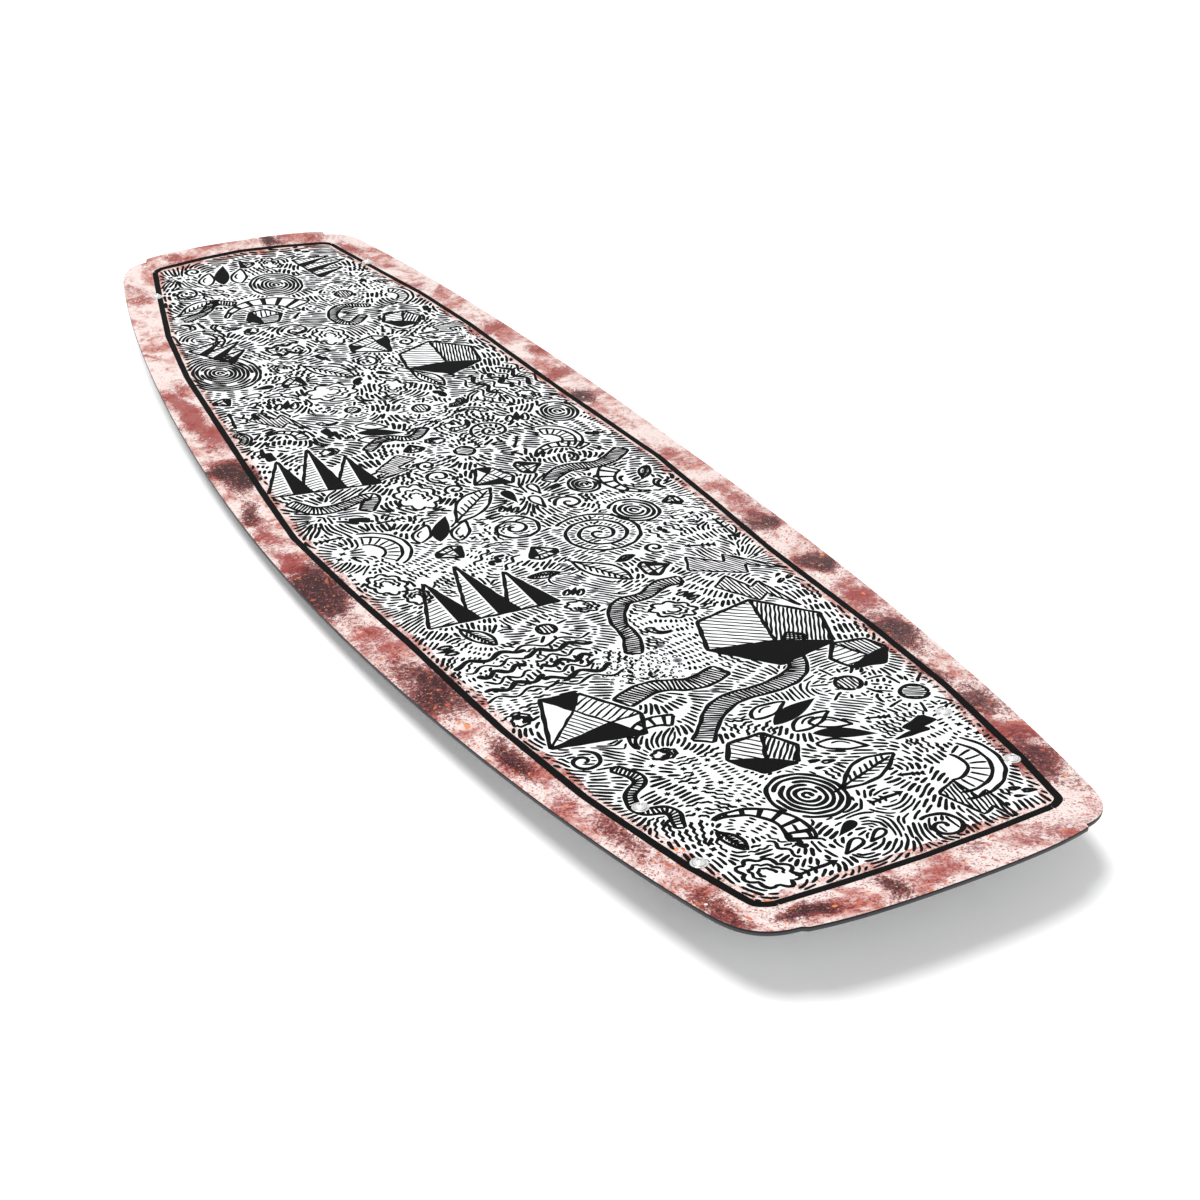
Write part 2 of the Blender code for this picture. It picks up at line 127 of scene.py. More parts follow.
def outline(fine=16, step=0.008):
    """Edge of the board, counter-clockwise from above."""
    tip = tip_edge(fine)
    count = int(TIP_START / step)
    side = [(TIP_START * i / count, half_width(TIP_START * i / count)) for i in range(count)]
    quarter = side + tip
    left = quarter + [(x, -y) for x, y in reversed(quarter[:-1])]
    loop = left + [(-x, y) for x, y in reversed(left[1:-1])]
    return loop[::-1]


def inset_loop(loop, distance):
    out = []
    for i, point in enumerate(loop):
        before = Vector(loop[i - 1])
        after = Vector(loop[(i + 1) % len(loop)])
        edge = (after - before).normalized()
        out.append((point[0] - edge.y * distance, point[1] + edge.x * distance))
    return out


def seat(x, y):
    """Placement square to the deck, as the fasteners sit."""
    first = INSERTS[0] - 0.0127
    low = first + math.floor((abs(x) - first) / 0.0254) * 0.0254
    slope = (rocker(low + 0.0254) - rocker(low)) / 0.0254 * math.copysign(1, x)
    turn = Matrix.Rotation(-math.atan(slope), 4, "Y")
    share = (abs(x) - low) / 0.0254
    height = THICK + rocker(low) * (1 - share) + rocker(low + 0.0254) * share
    return Matrix.Translation((x, y, height)) @ turn


# ---------------------------------------------------------------- materials


def linear(code):
    """sRGB hex to the linear colour that a shader takes."""
    values = [int(code[i:i + 2], 16) / 255 for i in (1, 3, 5)]
    out = [v / 12.92 if v <= 0.04045 else ((v + 0.055) / 1.055) ** 2.4 for v in values]
    return (*out, 1.0)


def node(mat, kind, links=None, **settings):
    """Adds a node; settings name its properties or inputs, links name the sockets that feed it."""
    tree = mat.node_tree
    new = tree.nodes.new(kind)
    for key, value in settings.items():
        if key.startswith("in_"):
            name = key[3:]
            new.inputs[int(name) if name.isdigit() else name.replace("_", " ")].default_value = value
        else:
            setattr(new, key, value)
    for key, source in (links or {}).items():
        tree.links.new(source, new.inputs[key])
    return new


def surface(name, colour, rough, **sockets):
    """A material, its shader and its Object coordinates."""
    mat = bpy.data.materials.new(name)
    mat.use_nodes = True
    shader = mat.node_tree.nodes["Principled BSDF"]
    shader.inputs["Base Color"].default_value = linear(colour)
    shader.inputs["Roughness"].default_value = rough
    for key, value in sockets.items():
        shader.inputs[key.replace("_", " ")].default_value = value
    where = node(mat, "ShaderNodeTexCoord").outputs["Object"]
    return mat, shader, where


def math_node(mat, operation, a, b, clamp=False):
    """One step of arithmetic between sockets or numbers."""
    new = node(mat, "ShaderNodeMath", operation=operation, use_clamp=clamp)
    for i, value in enumerate((a, b)):
        if isinstance(value, (int, float)):
            new.inputs[i].default_value = value
        else:
            mat.node_tree.links.new(value, new.inputs[i])
    return new.outputs[0]


def ramp(mat, value, low, high, to_low=0.0, to_high=1.0, smooth=True):
    new = node(
        mat, "ShaderNodeMapRange", {"Value": value},
        interpolation_type="SMOOTHSTEP" if smooth else "LINEAR",
        in_From_Min=low, in_From_Max=high, in_To_Min=to_low, in_To_Max=to_high,
    )
    return new.outputs[0]


def blend(mat, share, a, b):
    """Mixes two colours, each a socket or a hex value."""
    new = node(mat, "ShaderNodeMix", data_type="RGBA")
    for i, value in ((6, a), (7, b)):
        if isinstance(value, str):
            new.inputs[i].default_value = linear(value)
        else:
            mat.node_tree.links.new(value, new.inputs[i])
    mat.node_tree.links.new(share, new.inputs[0])
    return new.outputs[2]


def noise(mat, where, scale, detail=2.0, rough=0.5, **more):
    new = node(
        mat, "ShaderNodeTexNoise", {"Vector": where},
        in_Scale=scale, in_Detail=detail, in_Roughness=rough, **more,
    )
    return new.outputs["Fac"]


def bump(mat, shader, height, distance, strength=1.0):
    new = node(mat, "ShaderNodeBump", {"Height": height}, in_Distance=distance, in_Strength=strength)
    mat.node_tree.links.new(new.outputs[0], shader.inputs["Normal"])


# Dye clouds: (x, y, reach along x, reach along y, strength), where the dye pooled darkest
DYE_PLUM = (
    (0.100, -0.186, 0.040, 0.018, 1.15), (0.068, -0.176, 0.020, 0.010, 0.6),
    (0.275, -0.171, 0.040, 0.017, 1.0), (0.300, -0.162, 0.018, 0.016, 0.7),
    (0.385, -0.158, 0.028, 0.011, 0.85), (0.505, -0.146, 0.030, 0.009, 0.5),
    (0.372, 0.161, 0.034, 0.013, 1.0), (0.238, 0.181, 0.015, 0.014, 1.0),
    (0.155, 0.178, 0.013, 0.020, 0.75), (0.478, 0.149, 0.020, 0.017, 0.8),
    (0.430, 0.147, 0.025, 0.008, 0.6), (0.560, 0.135, 0.035, 0.012, 0.55),
    (0.628, -0.093, 0.010, 0.014, 0.95), (0.630, -0.040, 0.016, 0.010, 0.85),
    (0.598, -0.128, 0.030, 0.008, 0.55), (0.622, 0.035, 0.010, 0.012, 0.35),
    (-0.128, -0.180, 0.026, 0.016, 1.15), (-0.060, -0.187, 0.022, 0.009, 0.8),
    (-0.149, 0.176, 0.013, 0.012, 0.9), (-0.640, 0.044, 0.012, 0.009, 0.85),
)
DYE_RED = (
    (-0.270, -0.172, 0.060, 0.013, 0.9), (-0.215, -0.166, 0.030, 0.014, 0.8),
    (-0.330, -0.158, 0.020, 0.008, 0.6), (-0.335, 0.170, 0.012, 0.020, 0.6),
    (-0.208, 0.180, 0.009, 0.016, 0.8), (-0.265, 0.180, 0.012, 0.014, 0.4),
    (-0.600, 0.115, 0.022, 0.012, 0.6), (-0.470, 0.142, 0.020, 0.008, 0.4),
    (-0.560, -0.135, 0.035, 0.010, 0.5), (-0.646, -0.030, 0.005, 0.008, 0.8),
    (-0.634, -0.066, 0.010, 0.008, 0.7), (-0.640, 0.085, 0.010, 0.010, 0.4),
    (0.045, -0.190, 0.030, 0.008, 0.7), (0.190, -0.178, 0.030, 0.012, 0.5),
    (0.120, 0.187, 0.030, 0.010, 0.5), (0.000, 0.186, 0.030, 0.010, 0.2),
    (0.300, 0.170, 0.040, 0.012, 0.5), (0.520, 0.140, 0.030, 0.012, 0.5),
    (0.440, -0.152, 0.030, 0.010, 0.4), (0.632, 0.080, 0.012, 0.025, 0.4),
    (0.636, 0.000, 0.010, 0.030, 0.3), (-0.030, -0.186, 0.060, 0.010, 0.5),
)


def clouds(mat, where, spots):
    """Soft pools of dye at given places, as one socket."""
    total = None
    for x, y, along, across, strength in spots:
        away = node(mat, "ShaderNodeVectorMath", {0: where}, operation="SUBTRACT")
        away.inputs[1].default_value = (x, y, 0)
        scaled = node(mat, "ShaderNodeVectorMath", {0: away.outputs[0]}, operation="MULTIPLY")
        scaled.inputs[1].default_value = (1 / along, 1 / across, 0)
        length = node(mat, "ShaderNodeVectorMath", {0: scaled.outputs[0]}, operation="LENGTH")
        pool = ramp(mat, length.outputs["Value"], 0.15, 1.75, strength, 0.0)
        total = pool if total is None else math_node(mat, "MAXIMUM", total, pool)
    return total


def dyed_print():
    """Sublimated print under a satin clear coat.

    It gives the eye pale pink dye clouds with maroon and plum pools, sprayed grain at their edges,
    rust flecks and a few pale drops, all under one even soft gloss.
    """
    mat, shader, where = surface(
        "sublimated_print", "#e8dedd", 0.42, Coat_Weight=0.04, Coat_Roughness=0.2, Specular_IOR_Level=0.12,
    )
    warp = node(mat, "ShaderNodeTexNoise", {"Vector": where}, in_Scale=16.0, in_Detail=4.0)
    centred = node(mat, "ShaderNodeVectorMath", {0: warp.outputs["Color"]}, operation="SUBTRACT")
    centred.inputs[1].default_value = (0.5, 0.5, 0.5)
    pushed = node(mat, "ShaderNodeVectorMath", {0: centred.outputs[0]}, operation="SCALE")
    pushed.inputs["Scale"].default_value = 0.050
    moved = node(
        mat, "ShaderNodeVectorMath", {0: where, 1: pushed.outputs[0]}, operation="ADD",
    ).outputs[0]

    # 25 mm drifts of pink over the pale ground, broken by finer 4 mm blotches
    drift = noise(mat, moved, 26.0, 6.0, 0.62)
    blotch = noise(mat, where, 150.0, 4.0, 0.6)
    ends = node(mat, "ShaderNodeSeparateXYZ", {"Vector": where})
    nose = ramp(mat, ends.outputs["X"], -0.25, 0.35)
    pinkness = math_node(mat, "ADD", ramp(mat, drift, 0.44, 0.62), ramp(mat, blotch, 0.35, 0.8, -0.18, 0.30))
    ground = blend(mat, math_node(mat, "MULTIPLY", pinkness, 0.95, True), "#e4d2cd", "#b9766c")
    veins = ramp(mat, noise(mat, moved, 60.0, 5.0, 0.6), 0.56, 0.70)
    ground = blend(mat, math_node(mat, "MULTIPLY", veins, 0.70), ground, "#96403a")

    # Sprayed grain: 0.9 mm and 2 mm droplets that eat into each pool's edge
    fine = node(mat, "ShaderNodeTexVoronoi", {"Vector": where}, in_Scale=1000.0)
    coarse = node(mat, "ShaderNodeTexVoronoi", {"Vector": moved}, in_Scale=430.0)
    fine_value = node(mat, "ShaderNodeSeparateColor", {0: fine.outputs["Color"]}).outputs[0]
    coarse_value = node(mat, "ShaderNodeSeparateColor", {0: coarse.outputs["Color"]}).outputs[1]
    grain = math_node(mat, "ADD", math_node(mat, "MULTIPLY", fine_value, 0.5), math_node(mat, "MULTIPLY", coarse_value, 0.5))
    grain = math_node(mat, "SUBTRACT", grain, 0.5)

    red = math_node(mat, "ADD", clouds(mat, moved, DYE_RED), math_node(mat, "MULTIPLY", grain, 0.55))
    red = math_node(mat, "ADD", red, math_node(mat, "MULTIPLY", math_node(mat, "SUBTRACT", drift, 0.5), 1.3))
    colour = blend(mat, ramp(mat, red, 0.06, 0.62, 0.0, 0.90), ground, "#8f312d")
    plum_in = math_node(mat, "ADD", clouds(mat, moved, DYE_PLUM), math_node(mat, "MULTIPLY", grain, 0.70))
    plum_in = math_node(mat, "ADD", plum_in, math_node(mat, "MULTIPLY", math_node(mat, "SUBTRACT", drift, 0.5), 1.0))
    colour = blend(mat, ramp(mat, plum_in, 0.06, 0.48, 0.0, 0.88), colour, "#741d1c")
    colour = blend(mat, ramp(mat, plum_in, 0.32, 0.80, 0.0, 0.95), colour, "#29090d")

    # Nose half: a light all-over spatter of plum grain
    spatter = math_node(mat, "MULTIPLY", ramp(mat, fine_value, 0.80, 0.90), nose)
    spatter = math_node(mat, "MULTIPLY", spatter, ramp(mat, noise(mat, where, 45.0, 3.0), 0.30, 0.60, 0.20, 0.85))
    colour = blend(mat, spatter, colour, "#8a5058")

    # Lilac and cream droplets that lie on the dark pools
    on_dark = ramp(mat, plum_in, 0.35, 0.70)
    lilac = math_node(mat, "MULTIPLY", ramp(mat, coarse_value, 0.88, 0.94, 0.0, 0.30), on_dark)
    colour = blend(mat, lilac, colour, "#8c4f52")
    cream = math_node(mat, "MULTIPLY", ramp(mat, fine_value, 0.975, 0.99, 0.0, 0.5), on_dark)
    colour = blend(mat, cream, colour, "#e2bd92")

    # Rust flecks from a stiff brush: 1 to 4 mm, thickest on the nose half
    for scale, size, strength, tint in ((100.0, 0.17, 0.85, "#bf5f3c"), (230.0, 0.22, 0.80, "#a84c36"), (60.0, 0.09, 0.9, "#dc8347")):
        cell = node(mat, "ShaderNodeTexVoronoi", {"Vector": moved}, voronoi_dimensions="2D", in_Scale=scale)
        pick = node(mat, "ShaderNodeSeparateColor", {0: cell.outputs["Color"]}).outputs[2]
        reach = math_node(mat, "MULTIPLY", ramp(mat, pick, 0.45, 1.0), size)
        inside = math_node(mat, "GREATER_THAN", reach, cell.outputs["Distance"])
        amount = math_node(mat, "MULTIPLY", inside, ramp(mat, nose, 0.0, 1.0, strength * 0.35, strength))
        colour = blend(mat, amount, colour, tint)

    # Pale drops of 3 to 5 mm, well apart
    drops = node(mat, "ShaderNodeTexVoronoi", {"Vector": where}, voronoi_dimensions="2D", in_Scale=15.0)
    pick = node(mat, "ShaderNodeSeparateColor", {0: drops.outputs["Color"]}).outputs[0]
    reach = ramp(mat, pick, 0.70, 1.0, 0.0, 0.038, False)
    inside = math_node(mat, "GREATER_THAN", reach, drops.outputs["Distance"])
    colour = blend(mat, math_node(mat, "MULTIPLY", inside, 0.9), colour, "#f1e4e0")

    # The cut edge of the sheet is not printed: charcoal, like the rail
    facing = node(mat, "ShaderNodeNewGeometry")
    up = node(mat, "ShaderNodeSeparateXYZ", {"Vector": facing.outputs["Normal"]}).outputs["Z"]
    colour = blend(mat, ramp(mat, up, 0.35, 0.75), "#26272a", colour)
    mat.node_tree.links.new(colour, shader.inputs["Base Color"])
    bump(mat, shader, noise(mat, where, 260.0, 2.0), 0.00003)
    return mat


def panel_white():
    """Opaque white screen-print ink: flat, slightly softer than the coat around it."""
    mat, shader, where = surface("screen_white", "#f3f4f4", 0.5, Specular_IOR_Level=0.25)
    patch = noise(mat, where, 35.0, 3.0)
    mat.node_tree.links.new(blend(mat, ramp(mat, patch, 0.3, 0.75), "#f5f6f6", "#eceeef"), shader.inputs["Base Color"])
    bump(mat, shader, noise(mat, where, 420.0, 2.0), 0.00002)
    return mat


def brush_ink():
    """Black brush ink under the coat: near black, with a dry-brush grain that lets some grey through."""
    mat, shader, where = surface("brush_ink", "#0c0c0d", 0.6, Specular_IOR_Level=0.03)
    grain = noise(mat, where, 900.0, 3.0, 0.7)
    mat.node_tree.links.new(blend(mat, ramp(mat, grain, 0.45, 0.75), "#090909", "#151516"), shader.inputs["Base Color"])
    return mat


def rail_urethane():
    """Moulded charcoal urethane: satin, with a faint pebble from the mould and random paler patches."""
    mat, shader, where = surface("moulded_urethane", "#2b2c2f", 0.46, Specular_IOR_Level=0.5)
    patch = noise(mat, where, 40.0, 4.0)
    mat.node_tree.links.new(blend(mat, ramp(mat, patch, 0.3, 0.75), "#28292c", "#333438"), shader.inputs["Base Color"])
    mat.node_tree.links.new(ramp(mat, noise(mat, where, 90.0, 4.0), 0.3, 0.7, 0.40, 0.54), shader.inputs["Roughness"])
    # 0.7 mm mould pebble
    bump(mat, shader, noise(mat, where, 1400.0, 2.0), 0.00003)
    return mat


def base_gloss():
    """Sintered base sheet: cool off-white, polished along the board, with hairline rub marks."""
    mat, shader, where = surface("sintered_base", "#d9dadb", 0.22, Coat_Weight=0.2)
    long = node(mat, "ShaderNodeMapping", {"Vector": where})
    long.inputs["Scale"].default_value = (6.0, 700.0, 1.0)
    hair = noise(mat, long.outputs[0], 1.0, 3.0)
    patch = noise(mat, where, 9.0, 3.0)
    mat.node_tree.links.new(blend(mat, ramp(mat, patch, 0.35, 0.7), "#dcdddd", "#cfd1d3"), shader.inputs["Base Color"])
    mat.node_tree.links.new(ramp(mat, hair, 0.35, 0.7, 0.18, 0.34), shader.inputs["Roughness"])
    bump(mat, shader, hair, 0.00001)
    return mat


def fin_nylon():
    """Glass-filled nylon: black, satin, with a flow-marked moulded skin."""
    mat, shader, where = surface("glass_filled_nylon", "#1d1e20", 0.38)
    flow = node(mat, "ShaderNodeMapping", {"Vector": where})
    flow.inputs["Scale"].default_value = (60.0, 200.0, 260.0)
    marks = noise(mat, flow.outputs[0], 1.0, 3.0)
    mat.node_tree.links.new(blend(mat, ramp(mat, marks, 0.35, 0.7), "#1a1b1d", "#27282b"), shader.inputs["Base Color"])
    mat.node_tree.links.new(ramp(mat, marks, 0.3, 0.7, 0.32, 0.46), shader.inputs["Roughness"])
    bump(mat, shader, noise(mat, where, 1100.0, 2.0), 0.00003)
    return mat


def turned_steel():
    """Polished A4 stainless: bright, with small handling marks."""
    mat, shader, where = surface("polished_stainless", "#e4e4e2", 0.18, Metallic=1.0)
    marks = noise(mat, where, 1800.0, 3.0, 0.6)
    mat.node_tree.links.new(ramp(mat, marks, 0.3, 0.7, 0.16, 0.32), shader.inputs["Roughness"])
    mat.node_tree.links.new(blend(mat, ramp(mat, noise(mat, where, 500.0), 0.35, 0.7), "#e8e8e6", "#d4d4d3"), shader.inputs["Base Color"])
    bump(mat, shader, marks, 0.00001)
    return mat


def insert_steel():
    """Bead-blasted stainless, seen as small matt grey discs flush with the deck."""
    mat, shader, where = surface("blasted_stainless", "#aab1b5", 0.5, Metallic=0.35)
    grit = noise(mat, where, 2600.0, 2.0)
    mat.node_tree.links.new(blend(mat, ramp(mat, grit, 0.3, 0.7), "#9ea6ab", "#b4babd"), shader.inputs["Base Color"])
    bump(mat, shader, grit, 0.00001)
    return mat


def inner_material(name, low, high, rough, scale, metallic=0.0):
    """An inner layer, seen only when the board is taken apart: two tones at the layer's own grain."""
    mat, shader, where = surface(name, low, rough, Metallic=metallic)
    stretch = node(mat, "ShaderNodeMapping", {"Vector": where})
    stretch.inputs["Scale"].default_value = scale
    grain = noise(mat, stretch.outputs[0], 1.0, 4.0, 0.6)
    mat.node_tree.links.new(blend(mat, ramp(mat, grain, 0.3, 0.7), low, high), shader.inputs["Base Color"])
    bump(mat, shader, grain, 0.00005)
    return mat


# ---------------------------------------------------------------- drawn pattern


CELL = 0.0005
PAGE_LEFT = -0.640
PAGE_TOP = 0.180
PAGE_SHAPE = (720, 2530)


def rounded(points, step=0.0012, turns=2):
    """A polyline with its corners cut twice, resampled at an even step."""
    path = np.array(points, float)
    for _ in range(turns):
        a = path[:-1] * 0.75 + path[1:] * 0.25
        b = path[:-1] * 0.25 + path[1:] * 0.75
        path = np.vstack([path[:1], np.stack([a, b], 1).reshape(-1, 2), path[-1:]])
    return even(path, step)


def even(path, step=0.0012):
    path = np.array(path, float)
    seg = np.hypot(*np.diff(path, axis=0).T)
    run = np.concatenate([[0], np.cumsum(seg)])
    count = max(2, int(run[-1] / step) + 1)
    at = np.linspace(0, run[-1], count)
    return np.stack([np.interp(at, run, path[:, 0]), np.interp(at, run, path[:, 1])], 1)


def arc(radius, start, end, count=24, squash=1.0):
    a = np.linspace(start, end, count)
    return np.stack([radius * np.cos(a), radius * squash * np.sin(a)], 1)


def inside(points, x, y):
    """Even-odd test of points against a closed outline."""
    found = np.zeros(x.shape, bool)
    for (x0, y0), (x1, y1) in zip(points, np.roll(points, -1, 0)):
        if y0 == y1:
            continue
        crosses = (y0 > y) != (y1 > y)
        found ^= crosses & (x < (x1 - x0) * (y - y0) / (y1 - y0) + x0)
    return found


class Page:
    """The deck's panel as a sheet of paper: strokes drawn so far, and where there is still room."""

    def __init__(self, seed):
        self.rng = random.Random(seed)
        self.full = np.zeros(PAGE_SHAPE, bool)
        self.tight = np.zeros(PAGE_SHAPE, bool)
        self.blank = np.zeros(PAGE_SHAPE, bool)
        self.strokes = []
        self.fills = []
        self.centres = []

    def cell(self, x, y):
        return int((PAGE_TOP - y) / CELL), int((x - PAGE_LEFT) / CELL)

    def taken(self, x, y, tight=False):
        row, col = self.cell(x, y)
        if not (0 <= row < PAGE_SHAPE[0] and 0 <= col < PAGE_SHAPE[1]):
            return True
        return self.tight[row, col] if tight else self.full[row, col]

    def mark(self, path, reach, tight=0.0024):
        """Claims room round a path: a wide strip for new strokes, a tighter one for growing strokes."""
        self.claim(self.full, path, reach)
        self.claim(self.tight, path, min(reach, tight))

    def claim(self, sheet, path, reach):
        span = int(reach / CELL)
        grid = np.arange(-span, span + 1)
        disc = grid[:, None] ** 2 + grid[None, :] ** 2 <= span * span
        step = max(1, int(reach * 0.5 / 0.0012))
        spots = list(path[::step]) + [path[-1]]
        for x, y in spots:
            row, col = self.cell(x, y)
            if span <= row < PAGE_SHAPE[0] - span and span <= col < PAGE_SHAPE[1] - span:
                sheet[row - span:row + span + 1, col - span:col + span + 1] |= disc

    def fill_room(self, outline_points):
        """Keeps strokes out of a closed shape."""
        shape = np.array(outline_points)
        r0, c0 = self.cell(shape[:, 0].min(), shape[:, 1].max())
        r1, c1 = self.cell(shape[:, 0].max(), shape[:, 1].min())
        r0, c0 = max(r0, 0), max(c0, 0)
        r1, c1 = min(r1 + 1, PAGE_SHAPE[0]), min(c1 + 1, PAGE_SHAPE[1])
        if r1 <= r0 or c1 <= c0:
            return
        rows, cols = np.mgrid[r0:r1, c0:c1]
        within = inside(shape, PAGE_LEFT + cols * CELL, PAGE_TOP - rows * CELL)
        self.full[r0:r1, c0:c1] |= within
        self.tight[r0:r1, c0:c1] |= within

    def stroke(self, path, width, keep=0.0015, taper=0.30, hand=0.00022, bold=1.55):
        """One brush stroke: a hand's small wander, and ends that thin out."""
        path = even(path)
        count = len(path)
        run = np.arange(count) * 0.0012
        a, b = self.rng.uniform(0, 6.3), self.rng.uniform(0, 6.3)
        drift = np.stack([np.sin(run * 420 + a), np.cos(run * 370 + b)], 1) * hand
        path = path + drift
        t = np.linspace(0, 1, count)
        ends = np.minimum(1, np.minimum(t, 1 - t) * (count * 0.0012) / max(0.0006, taper * 0.006))
        swell = 1 + 0.13 * np.sin(run * 300 + b)
        widths = width * bold * swell * (0.35 + 0.65 * np.sqrt(ends))
        clear = [not self.blank[min(max(r, 0), PAGE_SHAPE[0] - 1), min(max(c, 0), PAGE_SHAPE[1] - 1)]
                 for r, c in (self.cell(x, y) for x, y in path)]
        start = None
        for i, good in enumerate(clear + [False]):
            if good and start is None:
                start = i
            elif not good and start is not None:
                if i - start > 2:
                    self.strokes.append((path[start:i], widths[start:i]))
                start = None
        if keep is not None:
            self.mark(path, width * bold / 2 + keep)

    def shape(self, points, width, clear=True):
        """A closed outline, drawn with overlapping ends."""
        loop = np.vstack([points, points[:1]])
        self.stroke(loop, width, taper=0.05)
        if clear:
            self.fill_room(points)

    def hatch(self, points, angle, pitch, width):
        """Even lines across a closed shape, a little short of its outline."""
        shape = np.array(points)
        turn = np.array([[math.cos(angle), math.sin(angle)], [-math.sin(angle), math.cos(angle)]])
        local = shape @ turn.T
        y = local[:, 1].min() + pitch
        while y < local[:, 1].max() - pitch * 0.5:
            hits = []
            for (x0, y0), (x1, y1) in zip(local, np.roll(local, -1, 0)):
                if (y0 > y) != (y1 > y):
                    hits.append(x0 + (x1 - x0) * (y - y0) / (y1 - y0))
            hits.sort()
            for a, b in zip(hits[::2], hits[1::2]):
                a += 0.0007 + self.rng.uniform(0, 0.0008)
                b -= 0.0007 + self.rng.uniform(0, 0.0012)
                if b - a > 0.002:
                    self.stroke(np.array([(a, y), (b, y)]) @ turn, width, keep=None, bold=1.35)
            y += pitch * self.rng.uniform(0.9, 1.1)


def placed(points, x, y, turn, scale):
    c, s = math.cos(turn), math.sin(turn)
    return np.array(points, float) * scale @ np.array([[c, s], [-s, c]]) + (x, y)


# Each motif draws a plain mark at a place, with a half size and a turn


def draw_bolt(page, x, y, size, turn):
    zigzag = [(-0.25, 1), (0.35, 1), (0.08, 0.28), (0.42, 0.28), (-0.30, -1), (-0.05, -0.12), (-0.42, -0.12)]
    points = placed(zigzag, x, y, turn, size)
    page.shape(points, 0.0017)
    if size < 0.024:
        page.fills.append(points)
    else:
        page.hatch(points, turn + 0.9, 0.0030, 0.0013)


def draw_cube(page, x, y, size, turn):
    corner = [(math.cos(a), math.sin(a)) for a in (0.35, 1.25, 2.4, 3.5, 4.4, 5.55)]
    points = placed(corner, x, y, turn, size)
    page.shape(points, 0.0024)
    middle = placed([(0.28, -0.15)], x, y, turn, size)[0]
    for i in (0, 2, 4):
        page.stroke(np.array([points[i], middle]), 0.0020, keep=None)
    page.fills.append(np.array([points[4], points[5], points[0], middle]))
    page.hatch([points[0], points[1], points[2], middle], turn + 2.2, 0.0032, 0.0014)
    page.hatch([points[2], points[3], points[4], middle], turn + 0.5, 0.0052, 0.0013)


def draw_rings(page, x, y, size, turn):
    count = max(2, int(size / 0.0042))
    for i in range(count):
        radius = size * (i + 0.7) / count
        page.stroke(placed(arc(radius, 0.2 + i, 6.1 + i, 30, 0.86), x, y, turn, 1), 0.0021)
    page.fill_room(placed(arc(size, 0, 6.28, 30, 0.86), x, y, turn, 1))


def draw_sun(page, x, y, size, turn):
    core = placed(arc(size * 0.34, 0, 6.28, 26)[:-1], x, y, turn, 1)
    page.shape(core, 0.0022)
    page.hatch(core, turn, 0.0030, 0.0014)
    rays = max(9, int(size / 0.0020))
    for i in range(rays):
        a = 6.283 * i / rays
        near, far = (0.50, 1.0) if i % 2 else (0.56, 0.80)
        ray = [(math.cos(a) * near, math.sin(a) * near), (math.cos(a) * far, math.sin(a) * far)]
        page.stroke(placed(ray, x, y, turn, size), 0.0017)


def draw_peaks(page, x, y, size, turn):
    count = 3
    for i in range(count):
        left = -1 + i * 0.62
        tall = (0.9, 1.25, 0.75)[i]
        points = placed([(left, -0.7), (left + 0.40, tall - 0.2), (left + 0.80, -0.7)], x, y, turn, size)
        page.shape(points, 0.0021)
        inner = placed([(left + 0.40, tall - 0.2), (left + 0.80, -0.7), (left + 0.46, -0.7)], x, y, turn, size)
        page.fills.append(inner)
        lit = placed([(left + 0.40, tall - 0.2), (left, -0.7), (left + 0.46, -0.7)], x, y, turn, size)
        page.hatch(lit, turn + 0.3, 0.0046, 0.0012)


def draw_cloud(page, x, y, size, turn):
    a = np.linspace(0, 6.283, 90)[:-1]
    radius = size * (0.74 + 0.24 * np.abs(np.sin(a * 4.0 + 0.3)))
    points = np.stack([radius * np.cos(a), radius * 0.72 * np.sin(a)], 1)
    page.shape(placed(points, x, y, turn, 1), 0.0020)
    for share in (0.62, 0.34):
        page.stroke(placed(points * share, x, y, turn, 1)[8:70], 0.0017, keep=None)


def draw_swirl(page, x, y, size, turn):
    a = np.linspace(0.6, 6.283 * max(1.6, size / 0.011), 90)
    spiral = np.stack([np.cos(a), np.sin(a)], 1) * (a / a[-1])[:, None]
    page.stroke(placed(spiral, x, y, turn, size), 0.0022)


def draw_fan(page, x, y, size, turn):
    for share in (1.0, 0.80, 0.42):
        page.stroke(placed(arc(share, 0.35, 2.8, 26), x, y - 0.3 * size, turn, size), 0.0019)
    for i in range(9):
        a = 0.42 + 2.3 * i / 8
        rib = [(math.cos(a) * 0.46, math.sin(a) * 0.46), (math.cos(a) * 0.76, math.sin(a) * 0.76)]
        page.stroke(placed(rib, x, y - 0.3 * size, turn, size), 0.0015, keep=None)
    page.fill_room(placed(np.vstack([arc(1.0, 0.35, 2.8, 20), [(0, 0)]]), x, y - 0.3 * size, turn, size))


